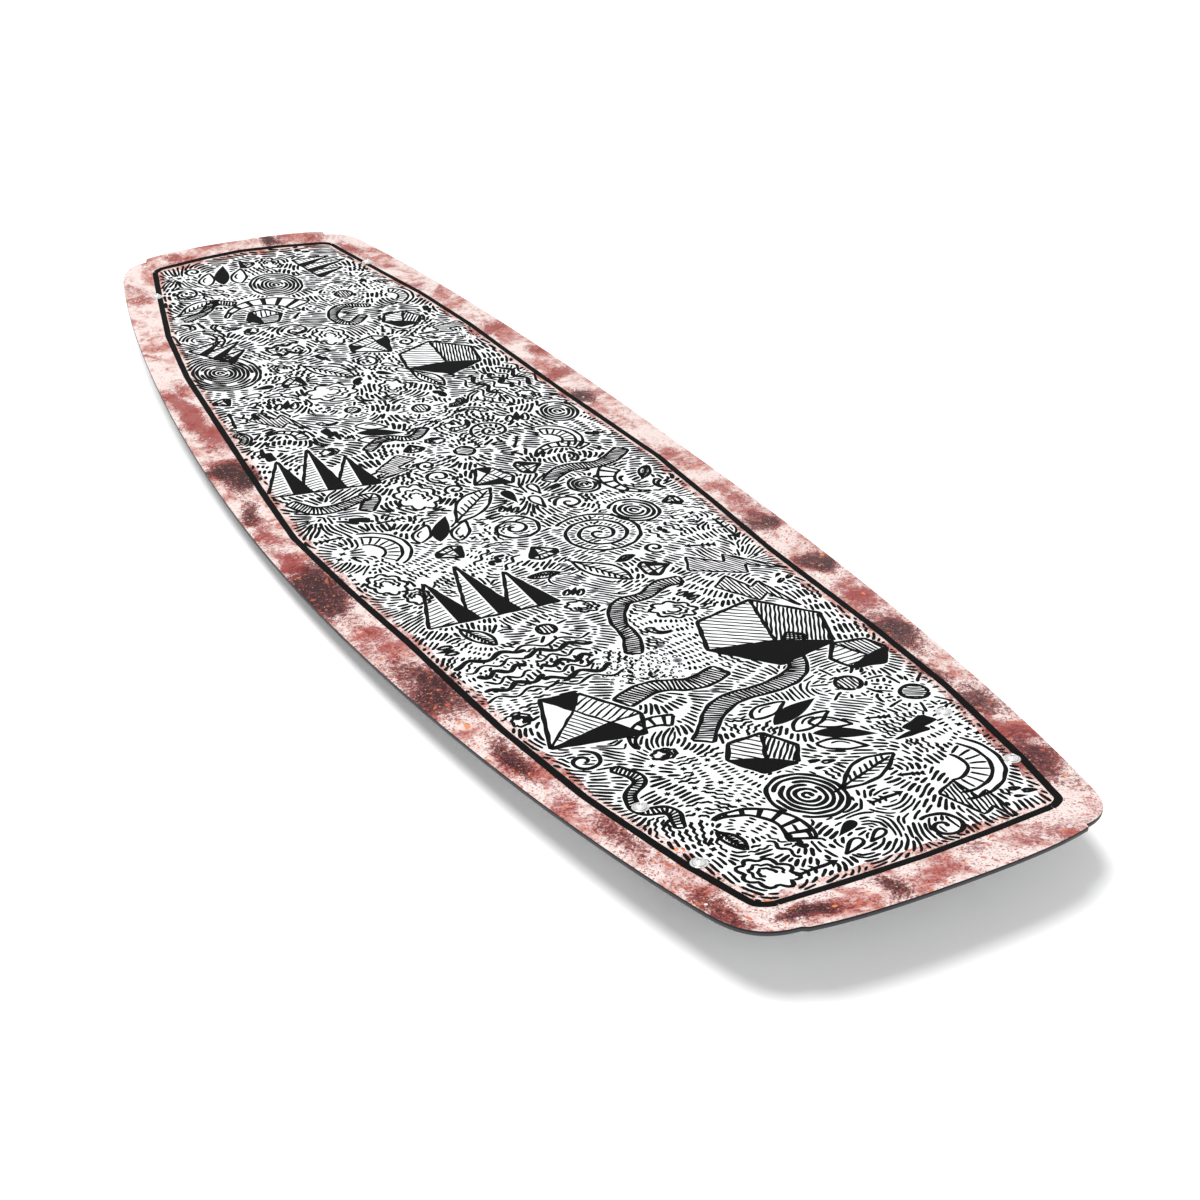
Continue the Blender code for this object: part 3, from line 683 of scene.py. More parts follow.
def draw_gem(page, x, y, size, turn):
    top = [(-0.6, 0.7), (0.6, 0.7), (1.0, 0.2), (0.0, -0.95), (-1.0, 0.2)]
    points = placed(top, x, y, turn, size)
    page.shape(points, 0.0022)
    for a, b in (((-1.0, 0.2), (1.0, 0.2)), ((-0.35, 0.2), (0, -0.95)), ((0.35, 0.2), (0, -0.95)), ((-0.6, 0.7), (-0.35, 0.2)), ((0.6, 0.7), (0.35, 0.2))):
        page.stroke(placed([a, b], x, y, turn, size), 0.0016, keep=None)
    page.fills.append(placed([(0.35, 0.2), (1.0, 0.2), (0.0, -0.95)], x, y, turn, size))
    page.fills.append(placed([(-0.6, 0.7), (-0.35, 0.2), (-1.0, 0.2)], x, y, turn, size))
    page.hatch(placed([(-0.35, 0.2), (0.35, 0.2), (0.0, -0.95)], x, y, turn, size), turn, 0.0040, 0.0012)
    page.hatch(placed([(-0.35, 0.2), (0.35, 0.2), (0.6, 0.7), (-0.6, 0.7)], x, y, turn, size), turn + 1.6, 0.0050, 0.0013)


def draw_tube(page, path, half, rung=0.0040, ends=True):
    """A banded tube along a path."""
    mid = rounded(path, 0.0015, 3)
    step = np.gradient(mid, axis=0)
    step /= np.hypot(*step.T)[:, None]
    side = np.stack([-step[:, 1], step[:, 0]], 1)
    thick = half * (1 + 0.10 * np.sin(np.arange(len(mid)) * 0.16))[:, None]
    left, right = mid + side * thick, mid - side * thick
    page.stroke(left, 0.0020, taper=0.05)
    page.stroke(right, 0.0020, taper=0.05)
    page.fill_room(np.vstack([left, right[::-1]]))
    gap = max(2, int(rung / 0.0015))
    for i in range(gap, len(mid) - gap, gap):
        lean = step[i] * half * 0.25
        page.stroke(np.array([left[i] - lean, right[i] + lean]), 0.0014, keep=None)
    if ends:
        page.stroke(np.array([left[0], right[0]]), 0.0020, keep=None)
        page.stroke(np.array([left[-1], right[-1]]), 0.0020, keep=None)


def draw_horn(page, x, y, size, turn):
    """A curved horn with solid black bands."""
    a = np.linspace(0.1, 2.4, 40)
    mid = np.stack([np.cos(a), np.sin(a)], 1)
    half = np.linspace(0.30, 0.03, 40)[:, None]
    outer, inner = mid * (1 + half), mid * (1 - half)
    shape = placed(np.vstack([outer, inner[::-1]]), x, y, turn, size)
    page.shape(shape, 0.0020)
    for i in range(3, 36, 6):
        band = np.vstack([outer[i:i + 3], inner[i:i + 3][::-1]])
        page.fills.append(placed(band, x, y, turn, size))


def draw_flame(page, x, y, size, turn):
    for k, (dx, tall) in enumerate(((-0.55, 0.75), (0.0, 1.1), (0.55, 0.85))):
        t = np.linspace(0, 1, 24)
        left = np.stack([dx - 0.26 * np.sin(math.pi * t ** 0.8) + 0.22 * t * t, -0.8 + tall * 1.5 * t], 1)
        right = np.stack([dx + 0.26 * np.sin(math.pi * t ** 0.8) + 0.22 * t * t, -0.8 + tall * 1.5 * t], 1)
        shape = placed(np.vstack([left, right[::-1]]), x, y, turn, size)
        if k == 1:
            page.fills.append(shape)
            page.fill_room(shape)
            page.mark(shape, 0.0020)
        else:
            page.shape(shape, 0.0019)
            page.stroke(shape[2:20] * 0.5 + shape.mean(0) * 0.5, 0.0014, keep=None)


def draw_drops(page, x, y, size, turn):
    for dx, dy, share in ((-0.5, 0.2, 0.55), (0.45, 0.35, 0.42), (0.1, -0.55, 0.5)):
        a = np.linspace(0, 6.283, 26)[:-1]
        points = np.stack([np.sin(a) * 0.42 * (1 - np.cos(a)) * 0.7, -np.cos(a)], 1) * share + (dx, dy)
        points = placed(points, x, y, turn, size)
        if share > 0.5:
            page.fills.append(points)
            page.fill_room(points)
            page.mark(points, 0.0018)
        else:
            page.shape(points, 0.0018)


def draw_stars(page, x, y, size, turn):
    for k in range(9):
        a = k * 2.4 + turn
        r = size * math.sqrt((k + 0.4) / 9)
        cx, cy = x + r * math.cos(a), y + r * math.sin(a) * 0.8
        if page.taken(cx, cy):
            continue
        for i in range(3):
            b = a + i * math.pi / 3
            arm = np.array([(math.cos(b), math.sin(b)), (-math.cos(b), -math.sin(b))]) * 0.0026
            page.stroke(arm + (cx, cy), 0.0011, hand=0)


def draw_pebbles(page, x, y, size, turn):
    for k in range(int((size / 0.0040) ** 2)):
        a = k * 2.39996
        r = size * math.sqrt((k + 0.5) / ((size / 0.0040) ** 2))
        cx, cy = x + r * math.cos(a), y + r * math.sin(a) * 0.85
        if page.taken(cx, cy):
            continue
        radius = page.rng.uniform(0.0009, 0.0018)
        page.stroke(arc(radius, 0, 6.4, 14) + (cx, cy), 0.0009, keep=0.0007, hand=0)


def draw_steps(page, x, y, size, turn):
    """A stack of wavy bars."""
    rows = max(3, int(size / 0.0050))
    for i in range(rows):
        v = -1 + 2 * (i + 0.5) / rows
        t = np.linspace(-1, 1, 26)
        bar = np.stack([t * (0.72 - 0.18 * math.cos(v * 3)), v + 0.10 * np.sin(t * 7 + i)], 1)
        page.stroke(placed(bar, x, y, turn, size), 0.0032 if i % 2 else 0.0018)


def draw_arrow(page, x, y, size, turn):
    page.stroke(placed([(-1, 0), (0.8, 0)], x, y, turn, size), 0.0020)
    head = placed([(1.0, 0), (0.5, 0.34), (0.62, 0), (0.5, -0.34)], x, y, turn, size)
    page.fills.append(head)
    page.mark(head, 0.0022)
    for i in range(3):
        u = -0.8 + 0.35 * i
        page.stroke(placed([(u - 0.15, 0.30), (u, 0), (u - 0.15, -0.30)], x, y, turn, size), 0.0016)


def draw_leaf(page, x, y, size, turn):
    t = np.linspace(0, 1, 26)
    upper = np.stack([2 * t - 1, 0.42 * np.sin(math.pi * t ** 1.2)], 1)
    lower = np.stack([2 * t - 1, -0.34 * np.sin(math.pi * t ** 0.9)], 1)
    page.shape(placed(np.vstack([upper, lower[::-1]]), x, y, turn, size), 0.0020)
    page.stroke(placed([(-1.25, 0.02), (0.85, 0.0)], x, y, turn, size), 0.0016, keep=None)
    for i in range(7):
        u = -0.62 + 0.2 * i
        page.stroke(placed([(u, 0.0), (u + 0.22, 0.24)], x, y, turn, size), 0.0013, keep=None)
        page.stroke(placed([(u, 0.0), (u + 0.22, -0.20)], x, y, turn, size), 0.0013, keep=None)


def draw_crosses(page, x, y, size, turn):
    for i in (-1, 0, 1):
        middle = placed([(i * 0.72, 0)], x, y, turn, size)[0]
        for b in (0.8, -0.8):
            arm = np.array([(math.cos(b), math.sin(b)), (-math.cos(b), -math.sin(b))]) * size * 0.26
            page.stroke(arm + middle, 0.0017)


DRAW = {
    "bolt": draw_bolt,
    "cube": draw_cube,
    "rings": draw_rings,
    "sun": draw_sun,
    "peaks": draw_peaks,
    "cloud": draw_cloud,
    "swirl": draw_swirl,
    "fan": draw_fan,
    "gem": draw_gem,
    "horn": draw_horn,
    "flame": draw_flame,
    "drops": draw_drops,
    "stars": draw_stars,
    "pebbles": draw_pebbles,
    "steps": draw_steps,
    "arrow": draw_arrow,
    "leaf": draw_leaf,
    "crosses": draw_crosses,
}

MOTIFS = (
    ("bolt", 0.212, 0.122, 0.034, 2.7), ("bolt", 0.262, 0.112, 0.030, 2.2), ("cube", 0.318, 0.078, 0.043, 0.4),
    ("cube", 0.380, 0.118, 0.019, 1.1), ("sun", 0.413, 0.086, 0.023, 0.0), ("sun", 0.446, 0.118, 0.024, 1.0),
    ("fan", 0.535, 0.085, 0.034, -0.6), ("bolt", 0.585, 0.072, 0.026, 2.0), ("swirl", 0.592, 0.032, 0.013, 0.0),
    ("flame", 0.425, 0.030, 0.024, 0.5), ("flame", 0.466, 0.045, 0.022, -0.4), ("leaf", 0.515, 0.030, 0.024, 1.9),
    ("cube", 0.462, -0.016, 0.021, 0.2), ("rings", 0.520, -0.020, 0.024, 0.3), ("drops", 0.575, -0.020, 0.017, 0.5),
    ("peaks", 0.160, -0.082, 0.043, 1.5), ("gem", 0.368, -0.098, 0.036, 0.5), ("horn", 0.415, -0.060, 0.020, 2.4),
    ("stars", 0.468, -0.078, 0.036, 0.2), ("pebbles", 0.322, -0.028, 0.030, 0.0), ("cloud", 0.110, -0.135, 0.017, 0.3),
    ("cloud", 0.140, -0.122, 0.012, 0.0), ("steps", 0.285, -0.068, 0.030, 1.5), ("steps", 0.282, -0.116, 0.028, 1.6),
    ("swirl", 0.110, 0.052, 0.032, 0.8), ("horn", 0.028, 0.138, 0.026, 3.6), ("arrow", 0.152, 0.147, 0.018, 0.0),
    ("drops", 0.018, 0.032, 0.022, 1.6), ("leaf", 0.012, -0.016, 0.030, 2.3), ("crosses", 0.068, -0.042, 0.012, 0.8),
    ("fan", 0.052, -0.118, 0.030, 0.2), ("flame", 0.040, -0.060, 0.024, 1.2), ("swirl", 0.068, -0.005, 0.020, 2.0),
    ("rings", 0.085, 0.098, 0.020, 0.4), ("crosses", 0.090, -0.155, 0.009, 0.0), ("leaf", 0.170, 0.022, 0.024, 0.5),
    ("sun", 0.235, -0.060, 0.018, 0.0), ("horn", 0.545, -0.078, 0.026, 1.0), ("cloud", 0.580, -0.088, 0.017, 0.6),
    ("steps", 0.560, -0.055, 0.014, 0.3), ("arrow", 0.590, -0.060, 0.013, 1.6), ("crosses", 0.505, 0.118, 0.009, 0.2),
    ("bolt", -0.080, -0.052, 0.026, 0.8), ("cloud", -0.024, -0.052, 0.022, 0.0), ("peaks", -0.105, -0.112, 0.040, 1.4),
    ("swirl", -0.118, 0.062, 0.017, 0.0), ("arrow", -0.172, 0.092, 0.018, 0.8), ("rings", -0.128, 0.135, 0.019, 0.0),
    ("fan", -0.075, 0.108, 0.026, 0.3), ("horn", -0.038, 0.098, 0.022, 1.9), ("sun", -0.190, 0.024, 0.020, 0.0),
    ("steps", -0.215, 0.118, 0.030, 0.2), ("cube", -0.290, 0.088, 0.034, 0.6), ("drops", -0.282, 0.036, 0.017, 2.4),
    ("leaf", -0.250, 0.058, 0.020, 0.3), ("flame", -0.160, -0.030, 0.022, -0.3), ("rings", -0.345, -0.118, 0.036, 0.3),
    ("peaks", -0.395, -0.100, 0.022, 0.6), ("bolt", -0.352, 0.118, 0.022, 0.3), ("cube", -0.395, 0.092, 0.017, 0.3),
    ("horn", -0.452, -0.030, 0.036, 1.9), ("swirl", -0.412, -0.018, 0.015, 1.0), ("cloud", -0.385, 0.010, 0.020, 0.0),
    ("gem", -0.345, 0.040, 0.021, 2.0), ("leaf", -0.305, -0.022, 0.024, 0.7), ("crosses", -0.230, -0.060, 0.010, 0.0),
    ("bolt", -0.218, -0.100, 0.026, 2.4), ("arrow", -0.240, -0.142, 0.015, 3.0), ("steps", -0.240, -0.120, 0.012, 0.0),
    ("drops", -0.285, -0.098, 0.018, 0.0), ("peaks", -0.565, 0.070, 0.024, 0.2), ("sun", -0.480, 0.062, 0.022, 0.0),
    ("rings", -0.532, 0.006, 0.027, 0.0), ("flame", -0.578, -0.040, 0.026, 1.4), ("leaf", -0.505, -0.088, 0.024, 2.0),
    ("crosses", -0.588, -0.082, 0.011, 0.9), ("swirl", -0.545, -0.090, 0.014, 0.0), ("fan", -0.455, 0.110, 0.022, 0.0),
    ("stars", -0.520, 0.090, 0.024, 0.0), ("cloud", -0.590, 0.020, 0.013, 0.0), ("horn", -0.425, -0.110, 0.015, 0.4),
    ("pebbles", -0.330, 0.140, 0.014, 0.0), ("fan", -0.200, -0.150, 0.014, 0.0), ("crosses", -0.455, 0.020, 0.009, 0.3),
    ("rings", 0.020, 0.085, 0.014, 0.0), ("gem", -0.030, 0.020, 0.018, 0.4), ("steps", 0.130, 0.100, 0.012, 0.2),
)
TUBES = (
    (((0.332, 0.096), (0.352, 0.078), (0.380, 0.070), (0.392, 0.040), (0.388, -0.005), (0.430, -0.042)), 0.0070),
    (((0.214, 0.068), (0.212, 0.048), (0.226, 0.030), (0.222, 0.008), (0.250, -0.010), (0.276, -0.010), (0.300, -0.022)), 0.0058),
    (((0.352, 0.020), (0.362, -0.008), (0.346, -0.034), (0.358, -0.064)), 0.0080),
    (((0.430, -0.110), (0.452, -0.098), (0.462, -0.118), (0.485, -0.122), (0.490, -0.100), (0.512, -0.108)), 0.0036),
    (((-0.020, -0.100), (-0.050, -0.078), (-0.030, -0.135), (-0.062, -0.152)), 0.0060),
    (((-0.030, 0.150), (-0.008, 0.120), (-0.020, 0.085), (0.000, 0.060)), 0.0065),
    (((-0.150, 0.010), (-0.130, -0.010), (-0.150, -0.030), (-0.128, -0.055)), 0.0045),
    (((-0.420, 0.060), (-0.400, 0.040), (-0.425, 0.025), (-0.455, 0.045), (-0.440, 0.075)), 0.0045),
    (((-0.500, -0.050), (-0.515, -0.070), (-0.490, -0.085), (-0.480, -0.112)), 0.0050),
)


def band_path(inset=0.0):
    """The drawn band's centre line all the way round, pulled in by an inset."""
    left = list(BAND_NOSE[::-1]) + list(BAND_TAIL)
    right = [(x, -y) for x, y in reversed(left[1:-1])]
    loop = left + right
    if inset:
        loop = [(x, y) for x, y in inset_loop(loop, -inset if area(loop) < 0 else inset)]
    return np.array(loop)


def area(loop):
    return sum(a[0] * b[1] - b[0] * a[1] for a, b in zip(loop, loop[1:] + loop[:1])) / 2


def draw_page(page):
    """Fills the panel: the large marks first, then dashes that flow round them."""
    rows, cols = np.mgrid[0:PAGE_SHAPE[0], 0:PAGE_SHAPE[1]]
    x = PAGE_LEFT + cols * CELL
    y = PAGE_TOP - rows * CELL
    panel = band_path(0.0040)
    outside = ~inside(panel, x, y)
    page.full |= outside
    page.tight |= outside
    page.blank |= outside
    for side in (1, -1):
        for spot in INSERTS:
            page.mark(np.array([(side * spot, 0.0)]), 0.0040)
    for path, half in TUBES:
        draw_tube(page, path, half)
        page.centres.append((path[len(path) // 2], 0.030, 0.0))
    for kind, mx, my, size, turn in MOTIFS:
        size *= 1.2
        DRAW[kind](page, mx, my, size, turn)
        page.centres.append(((mx, my), size, math.pi / 2 if len(page.centres) % 3 else 0.0))
    for size, count in ((0.026, 22), (0.019, 46), (0.0135, 90), (0.0095, 120)):
        scatter(page, size, count)
    flow(page)


def scatter(page, size, count):
    """Smaller marks wherever a round spot of this size is still clear."""
    kinds = (
        ("cube", "fan", "swirl", "rings", "peaks", "flame", "horn", "leaf", "sun", "cloud", "steps", "bolt", "gem")
        if size > 0.016 else ("swirl", "drops", "crosses", "arrow", "gem", "bolt", "leaf", "cloud", "fan", "flame", "horn")
    )
    angles = np.linspace(0, math.tau, 13)[:-1]
    for _ in range(6000):
        if count == 0:
            return
        x, y = page.rng.uniform(-0.615, 0.600), page.rng.uniform(-0.165, 0.165)
        spots = [(0, 0)] + [(math.cos(a) * r, math.sin(a) * r) for a in angles for r in (0.5, 1.0, 1.25)]
        if any(page.taken(x + dx * size, y + dy * size) for dx, dy in spots):
            continue
        kind = kinds[page.rng.randrange(len(kinds))]
        DRAW[kind](page, x, y, size, page.rng.uniform(0, math.tau))
        if size > 0.012:
            page.centres.append(((x, y), size, math.pi / 2 if count % 3 else 0.0))
        count -= 1


def flow(page):
    """Short strokes side by side, in ranks that bend round the marks already drawn."""
    rng = page.rng
    step = 0.004
    gx, gy = np.meshgrid(np.arange(PAGE_LEFT, 0.63, step), np.arange(-0.18, 0.18, step))
    base_angle = 0.5 * np.sin(gx * 17 + 1.0) + 0.8 * np.sin(gy * 15 + gx * 9) + 0.5
    u = 0.55 * np.cos(2 * base_angle)
    v = 0.55 * np.sin(2 * base_angle)
    for (cx, cy), size, offset in page.centres:
        dx, dy = gx - cx, gy - cy
        far = np.hypot(dx, dy) / size
        weight = 1.5 * np.exp(-((far - 1.0) / 0.75) ** 2)
        angle = np.arctan2(dy, dx) + offset
        u += weight * np.cos(2 * angle)
        v += weight * np.sin(2 * angle)
    angles = 0.5 * np.arctan2(v, u)
    kinds = np.sin(gx * 31 + 2) + np.sin(gy * 37 + gx * 13) + 0.6 * np.sin(gx * 71 - gy * 55)

    def look(px, py):
        i = min(max(int((py + 0.18) / step), 0), gx.shape[0] - 1)
        j = min(max(int((px - PAGE_LEFT) / step), 0), gx.shape[1] - 1)
        return angles[i, j], kinds[i, j]

    seeds = [(a, b) for a in np.arange(-0.63, 0.615, 0.006) for b in np.arange(-0.17, 0.171, 0.006)]
    rng.shuffle(seeds)
    seeds = [(a + rng.uniform(-0.002, 0.002), b + rng.uniform(-0.002, 0.002)) for a, b in seeds]
    nearby = []
    while seeds or nearby:
        px, py = nearby.pop(0) if nearby else seeds.pop()
        if page.taken(px, py):
            continue
        _, kind = look(px, py)
        if kind > 1.25:
            length, width, apart, wave = rng.uniform(0.018, 0.034), 0.0022, 0.0036, 0.0
        elif kind > 0.35:
            length, width, apart, wave = rng.uniform(0.010, 0.020), 0.0025, 0.0039, 0.0
        elif kind > -0.55:
            length, width, apart, wave = rng.uniform(0.008, 0.015), 0.0027, 0.0042, 0.0
        elif kind > -1.2:
            length, width, apart, wave = rng.uniform(0.014, 0.030), 0.0024, 0.0042, 0.0009
        else:
            length, width, apart, wave = rng.uniform(0.0035, 0.0060), 0.0024, 0.0038, 0.0
        if px < 0.05:
            length, width, apart = length * 1.2, width * 1.25, apart * 1.14
        sides = []
        for way in (1, -1):
            line = []
            qx, qy = px, py
            heading = look(px, py)[0] + (0 if way > 0 else math.pi)
            while len(line) * 0.001 < length / 2:
                angle = look(qx, qy)[0]
                if math.cos(angle - heading) < 0:
                    angle += math.pi
                heading = angle
                qx += 0.001 * math.cos(angle)
                qy += 0.001 * math.sin(angle)
                if page.taken(qx, qy, True):
                    break
                line.append((qx, qy))
            sides.append(line)
        path = sides[1][::-1] + [(px, py)] + sides[0]
        if len(path) < 3:
            page.mark(np.array([(px, py)]), 0.0008)
            continue
        path = np.array(path)
        if wave:
            way = path[-1] - path[0]
            normal = np.array([-way[1], way[0]]) / (np.hypot(*way) + 1e-9)
            path = path + normal * (wave * np.sin(np.arange(len(path)) * 0.95))[:, None]
        page.stroke(path, width * rng.uniform(0.85, 1.15), keep=apart - width * 0.5 - 0.0007, taper=0.35, bold=1.0)
        for place in (0.5, 0.15, 0.85):
            at = path[int(place * (len(path) - 1))]
            angle = look(*at)[0]
            for way in (1, -1):
                nearby.append((at[0] - way * apart * math.sin(angle), at[1] + way * apart * math.cos(angle)))
        if len(nearby) > 4000:
            nearby = nearby[:4000]


def ribbon(path, widths, verts, faces, rise):
    """A flat tapering ribbon on the deck along a path."""
    step = np.gradient(path, axis=0)
    step /= np.hypot(*step.T)[:, None] + 1e-12
    side = np.stack([-step[:, 1], step[:, 0]], 1) * widths[:, None] / 2
    first = len(verts)
    for (lx, ly), (rx, ry) in zip(path + side, path - side):
        verts.append((lx, ly, deck(lx, ly) + rise))
        verts.append((rx, ry, deck(rx, ry) + rise))
    for i in range(len(path) - 1):
        a = first + 2 * i
        faces.append((a, a + 1, a + 3, a + 2))


def thin_path(path, widths, stride):
    """Every few points of a stroke, with both ends kept."""
    if len(path) <= 3:
        return path, widths
    keep = sorted(set(range(0, len(path), stride)) | {1, len(path) - 2, len(path) - 1})
    return path[keep], widths[keep]


# ---------------------------------------------------------------- pieces


def add_piece(bm, name, mat, node_names=(), crease=35.0):
    """Turns a bmesh into a smooth-shaded piece with its sharp edges marked."""
    for face in bm.faces:
        face.smooth = True
    for edge in bm.edges:
        edge.smooth = not edge.is_manifold or edge.calc_face_angle(0.0) < math.radians(crease)
    mesh = bpy.data.meshes.new(name)
    bm.to_mesh(mesh)
    bm.free()
    mesh.materials.append(mat)
    obj = bpy.data.objects.new(name, mesh)
    bpy.context.scene.collection.objects.link(obj)
    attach(obj, "root")
    if node_names:
        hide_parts(*node_names)
    return obj


def screw_places():
    for end in (1, -1):
        for side in (1, -1):
            for way in (1, -1):
                yield end * (FIN_X + way * FIN_PITCH / 2), side * FIN_Y


def hole_places():
    """Every round opening in the deck: (x, y, radius)."""
    inserts = [(end * x, 0.0, 0.0035) for end in (1, -1) for x in INSERTS]
    return inserts + [(x, y, 0.0029) for x, y in screw_places()]


def slice_faces(bm, faces, point, normal):
    edges = list({e for f in faces for e in f.edges})
    verts = list({v for f in faces for v in f.verts})
    bmesh.ops.bisect_plane(bm, geom=verts + edges + faces, dist=1e-7, plane_co=point, plane_no=normal)


def pierce(bm, x, y, radius, half=0.0052):
    """Opens one round hole in the flat plan."""
    for edge in (y - half, y + half):
        column = [f for f in bm.faces if abs(f.calc_center_bounds().x - x) < 0.0004]
        slice_faces(bm, column, (0, edge, 0), (0, 1, 0))
    found = min(bm.faces, key=lambda f: (f.calc_center_bounds() - Vector((x, y, 0))).length)
    border = list(found.edges)
    bmesh.ops.delete(bm, geom=[found], context="FACES_ONLY")
    cut_edges = bmesh.ops.subdivide_edges(bm, edges=border, cuts=7)["geom_inner"]
    ring = [e for e in bm.edges if e.is_boundary and (sum((v.co for v in e.verts), Vector()) / 2
            - Vector((x, y, 0))).length < half * 1.5]
    circle = bmesh.ops.create_circle(
        bm, segments=len(ring), radius=radius,
        matrix=Matrix.Translation((x, y, 0)) @ Matrix.Rotation(math.pi / 4, 4, "Z"),
    )["verts"]
    inner = {e for v in circle for e in v.link_edges}
    bmesh.ops.bridge_loops(bm, edges=ring + list(inner))
    return cut_edges


def build_deck(mat, fine):
    """The printed top sheet: one smooth rocker, a softened rim and open insert and screw holes."""
    bm = bmesh.new()
    bm.faces.new([bm.verts.new((x, y, 0.0)) for x, y in outline(fine)])
    stops = sorted({round(x + way * 0.0052, 6) for x, _, _ in hole_places() for way in (1, -1)})
    marks = [-HALF] + stops + [HALF]
    lines = []
    for a, b in zip(marks, marks[1:]):
        is_hole = any(abs((a + b) / 2 - x) < 0.0004 for x, _, _ in hole_places())
        count = 1 if is_hole else max(1, int((b - a) / 0.0065))
        lines += [a + (b - a) * k / count for k in range(1, count + 1)]
    for x in lines[:-1]:
        slice_faces(bm, bm.faces[:], (x, 0, 0), (1, 0, 0))
    for y in (-WING_Y, -TONGUE_Y, TONGUE_Y, WING_Y):
        tip = [f for f in bm.faces if abs(f.calc_center_bounds().x) > TIP_START]
        slice_faces(bm, tip, (0, y, 0), (0, 1, 0))
    for x, y, radius in hole_places():
        pierce(bm, x, y, radius)
    bmesh.ops.remove_doubles(bm, verts=bm.verts[:], dist=1e-7)
    upper = bm.verts[:]
    made = bmesh.ops.extrude_face_region(bm, geom=bm.faces[:])
    lower = [v for v in made["geom"] if isinstance(v, bmesh.types.BMVert)]
    for v in upper:
        v.co.z = deck(v.co.x, v.co.y) if v.is_valid else 0
    for v in lower:
        v.co.z = deck(v.co.x, v.co.y) - SHEET
    bmesh.ops.recalc_face_normals(bm, faces=bm.faces[:])
    rim = []
    for e in bm.edges:
        if len(e.link_faces) != 2:
            continue
        a, b = (f.normal.z for f in e.link_faces)
        middle = sum((v.co for v in e.verts), Vector()) / 2
        near = min((middle.x - x) ** 2 + (middle.y - y) ** 2 for x, y, _ in hole_places())
        if max(a, b) > 0.8 and min(abs(a), abs(b)) < 0.3 and near > 0.007 ** 2:
            rim.append(e)
    bmesh.ops.bevel(
        bm, geom=rim, offset=0.00025, segments=2, profile=0.5, affect="EDGES", material=-1, clamp_overlap=True,
    )
    return add_piece(bm, "deck_top", mat, ["deck_sheet"], 30)


def bevel_run(x):
    share = min(1.0, max(0.0, (abs(x) - 0.45) / 0.15))
    run = 1.25 * (deck(x, 0.2) - base(x) - SHEET - GAP - 0.0020)
    return run * (1 - share) + 0.0140 * share


def foot_point(x, y, extra=0.0):
    """Where the rail's bevel meets the base, or a little inboard of that."""
    run = bevel_run(x)
    ahead = min(1.0, max(0.0, (abs(x) - TIP_START) / 0.025))
    aside = 1.0 if ahead == 0 else min(1.0, max(0.0, (abs(y) - 0.080) / 0.030))
    run = run * (1 - 0.25 * ahead * aside) + extra
    return x - math.copysign(run * ahead, x), y - math.copysign(run * aside, y)


def build_rim(mat, fine):
    """The moulded rail, all the way round: rounded lip, bevelled flank and a flat foot under the base."""
    loop = outline(fine)
    bm = bmesh.new()
    rings = []
    for (x, y), (ix, iy) in zip(loop, inset_loop(loop, 0.0005)):
        top = deck(x, y) - SHEET - GAP
        fx, fy = foot_point(x, y)
        kx, ky = foot_point(x, y, 0.0035)
        low = base(fx) + SHEET + GAP
        lip = top - 0.0020
        mx, my, mz = x * 0.985 + fx * 0.015, y * 0.985 + fy * 0.015, lip * 0.985 + low * 0.015
        section = (
            (kx, ky, deck(kx, ky) - SHEET - GAP), (ix, iy, deck(ix, iy) - SHEET - GAP), (x * 0.7 + ix * 0.3, y * 0.7 + iy * 0.3, top - 0.00015),
            (x, y, top - 0.0005), (x, y, lip + 0.0004), (mx, my, mz - 0.0003),
            (fx * 0.97 + x * 0.03, fy * 0.97 + y * 0.03, low * 0.97 + lip * 0.03), (kx, ky, low),
        )
        rings.append([bm.verts.new(point) for point in section])
    for a, b in zip(rings, rings[1:] + rings[:1]):
        for i in range(len(a)):
            j = (i + 1) % len(a)
            bm.faces.new((a[i], b[i], b[j], a[j]))
    bmesh.ops.recalc_face_normals(bm, faces=bm.faces[:])
    return add_piece(bm, "rail_rim", mat, ["rail_left", "rail_right", "tip_nose", "tip_tail"], 28)


def panel_width(x):
    """Half width inside the drawn band."""
    nose = [(a, b) for a, b in BAND_NOSE if b > 0.1]
    tail = [(a, b) for a, b in BAND_TAIL if b > 0.09]
    points = sorted(tail + nose)
    return float(np.interp(x, [p[0] for p in points], [p[1] for p in points]))


def torn(rng, count, reach):
    """A smooth random edge with a few sharper nicks, from 0 to about reach."""
    coarse = [rng.uniform(0, 1) for _ in range(count // 9 + 3)]
    fine = [rng.uniform(0, 1) for _ in range(count // 2 + 3)]
    at = np.linspace(0, 1, count)
    slow = np.interp(at * (len(coarse) - 1), range(len(coarse)), coarse)
    fast = np.interp(at * (len(fine) - 1), range(len(fine)), fine)
    return reach * (0.65 * slow + 0.35 * fast)


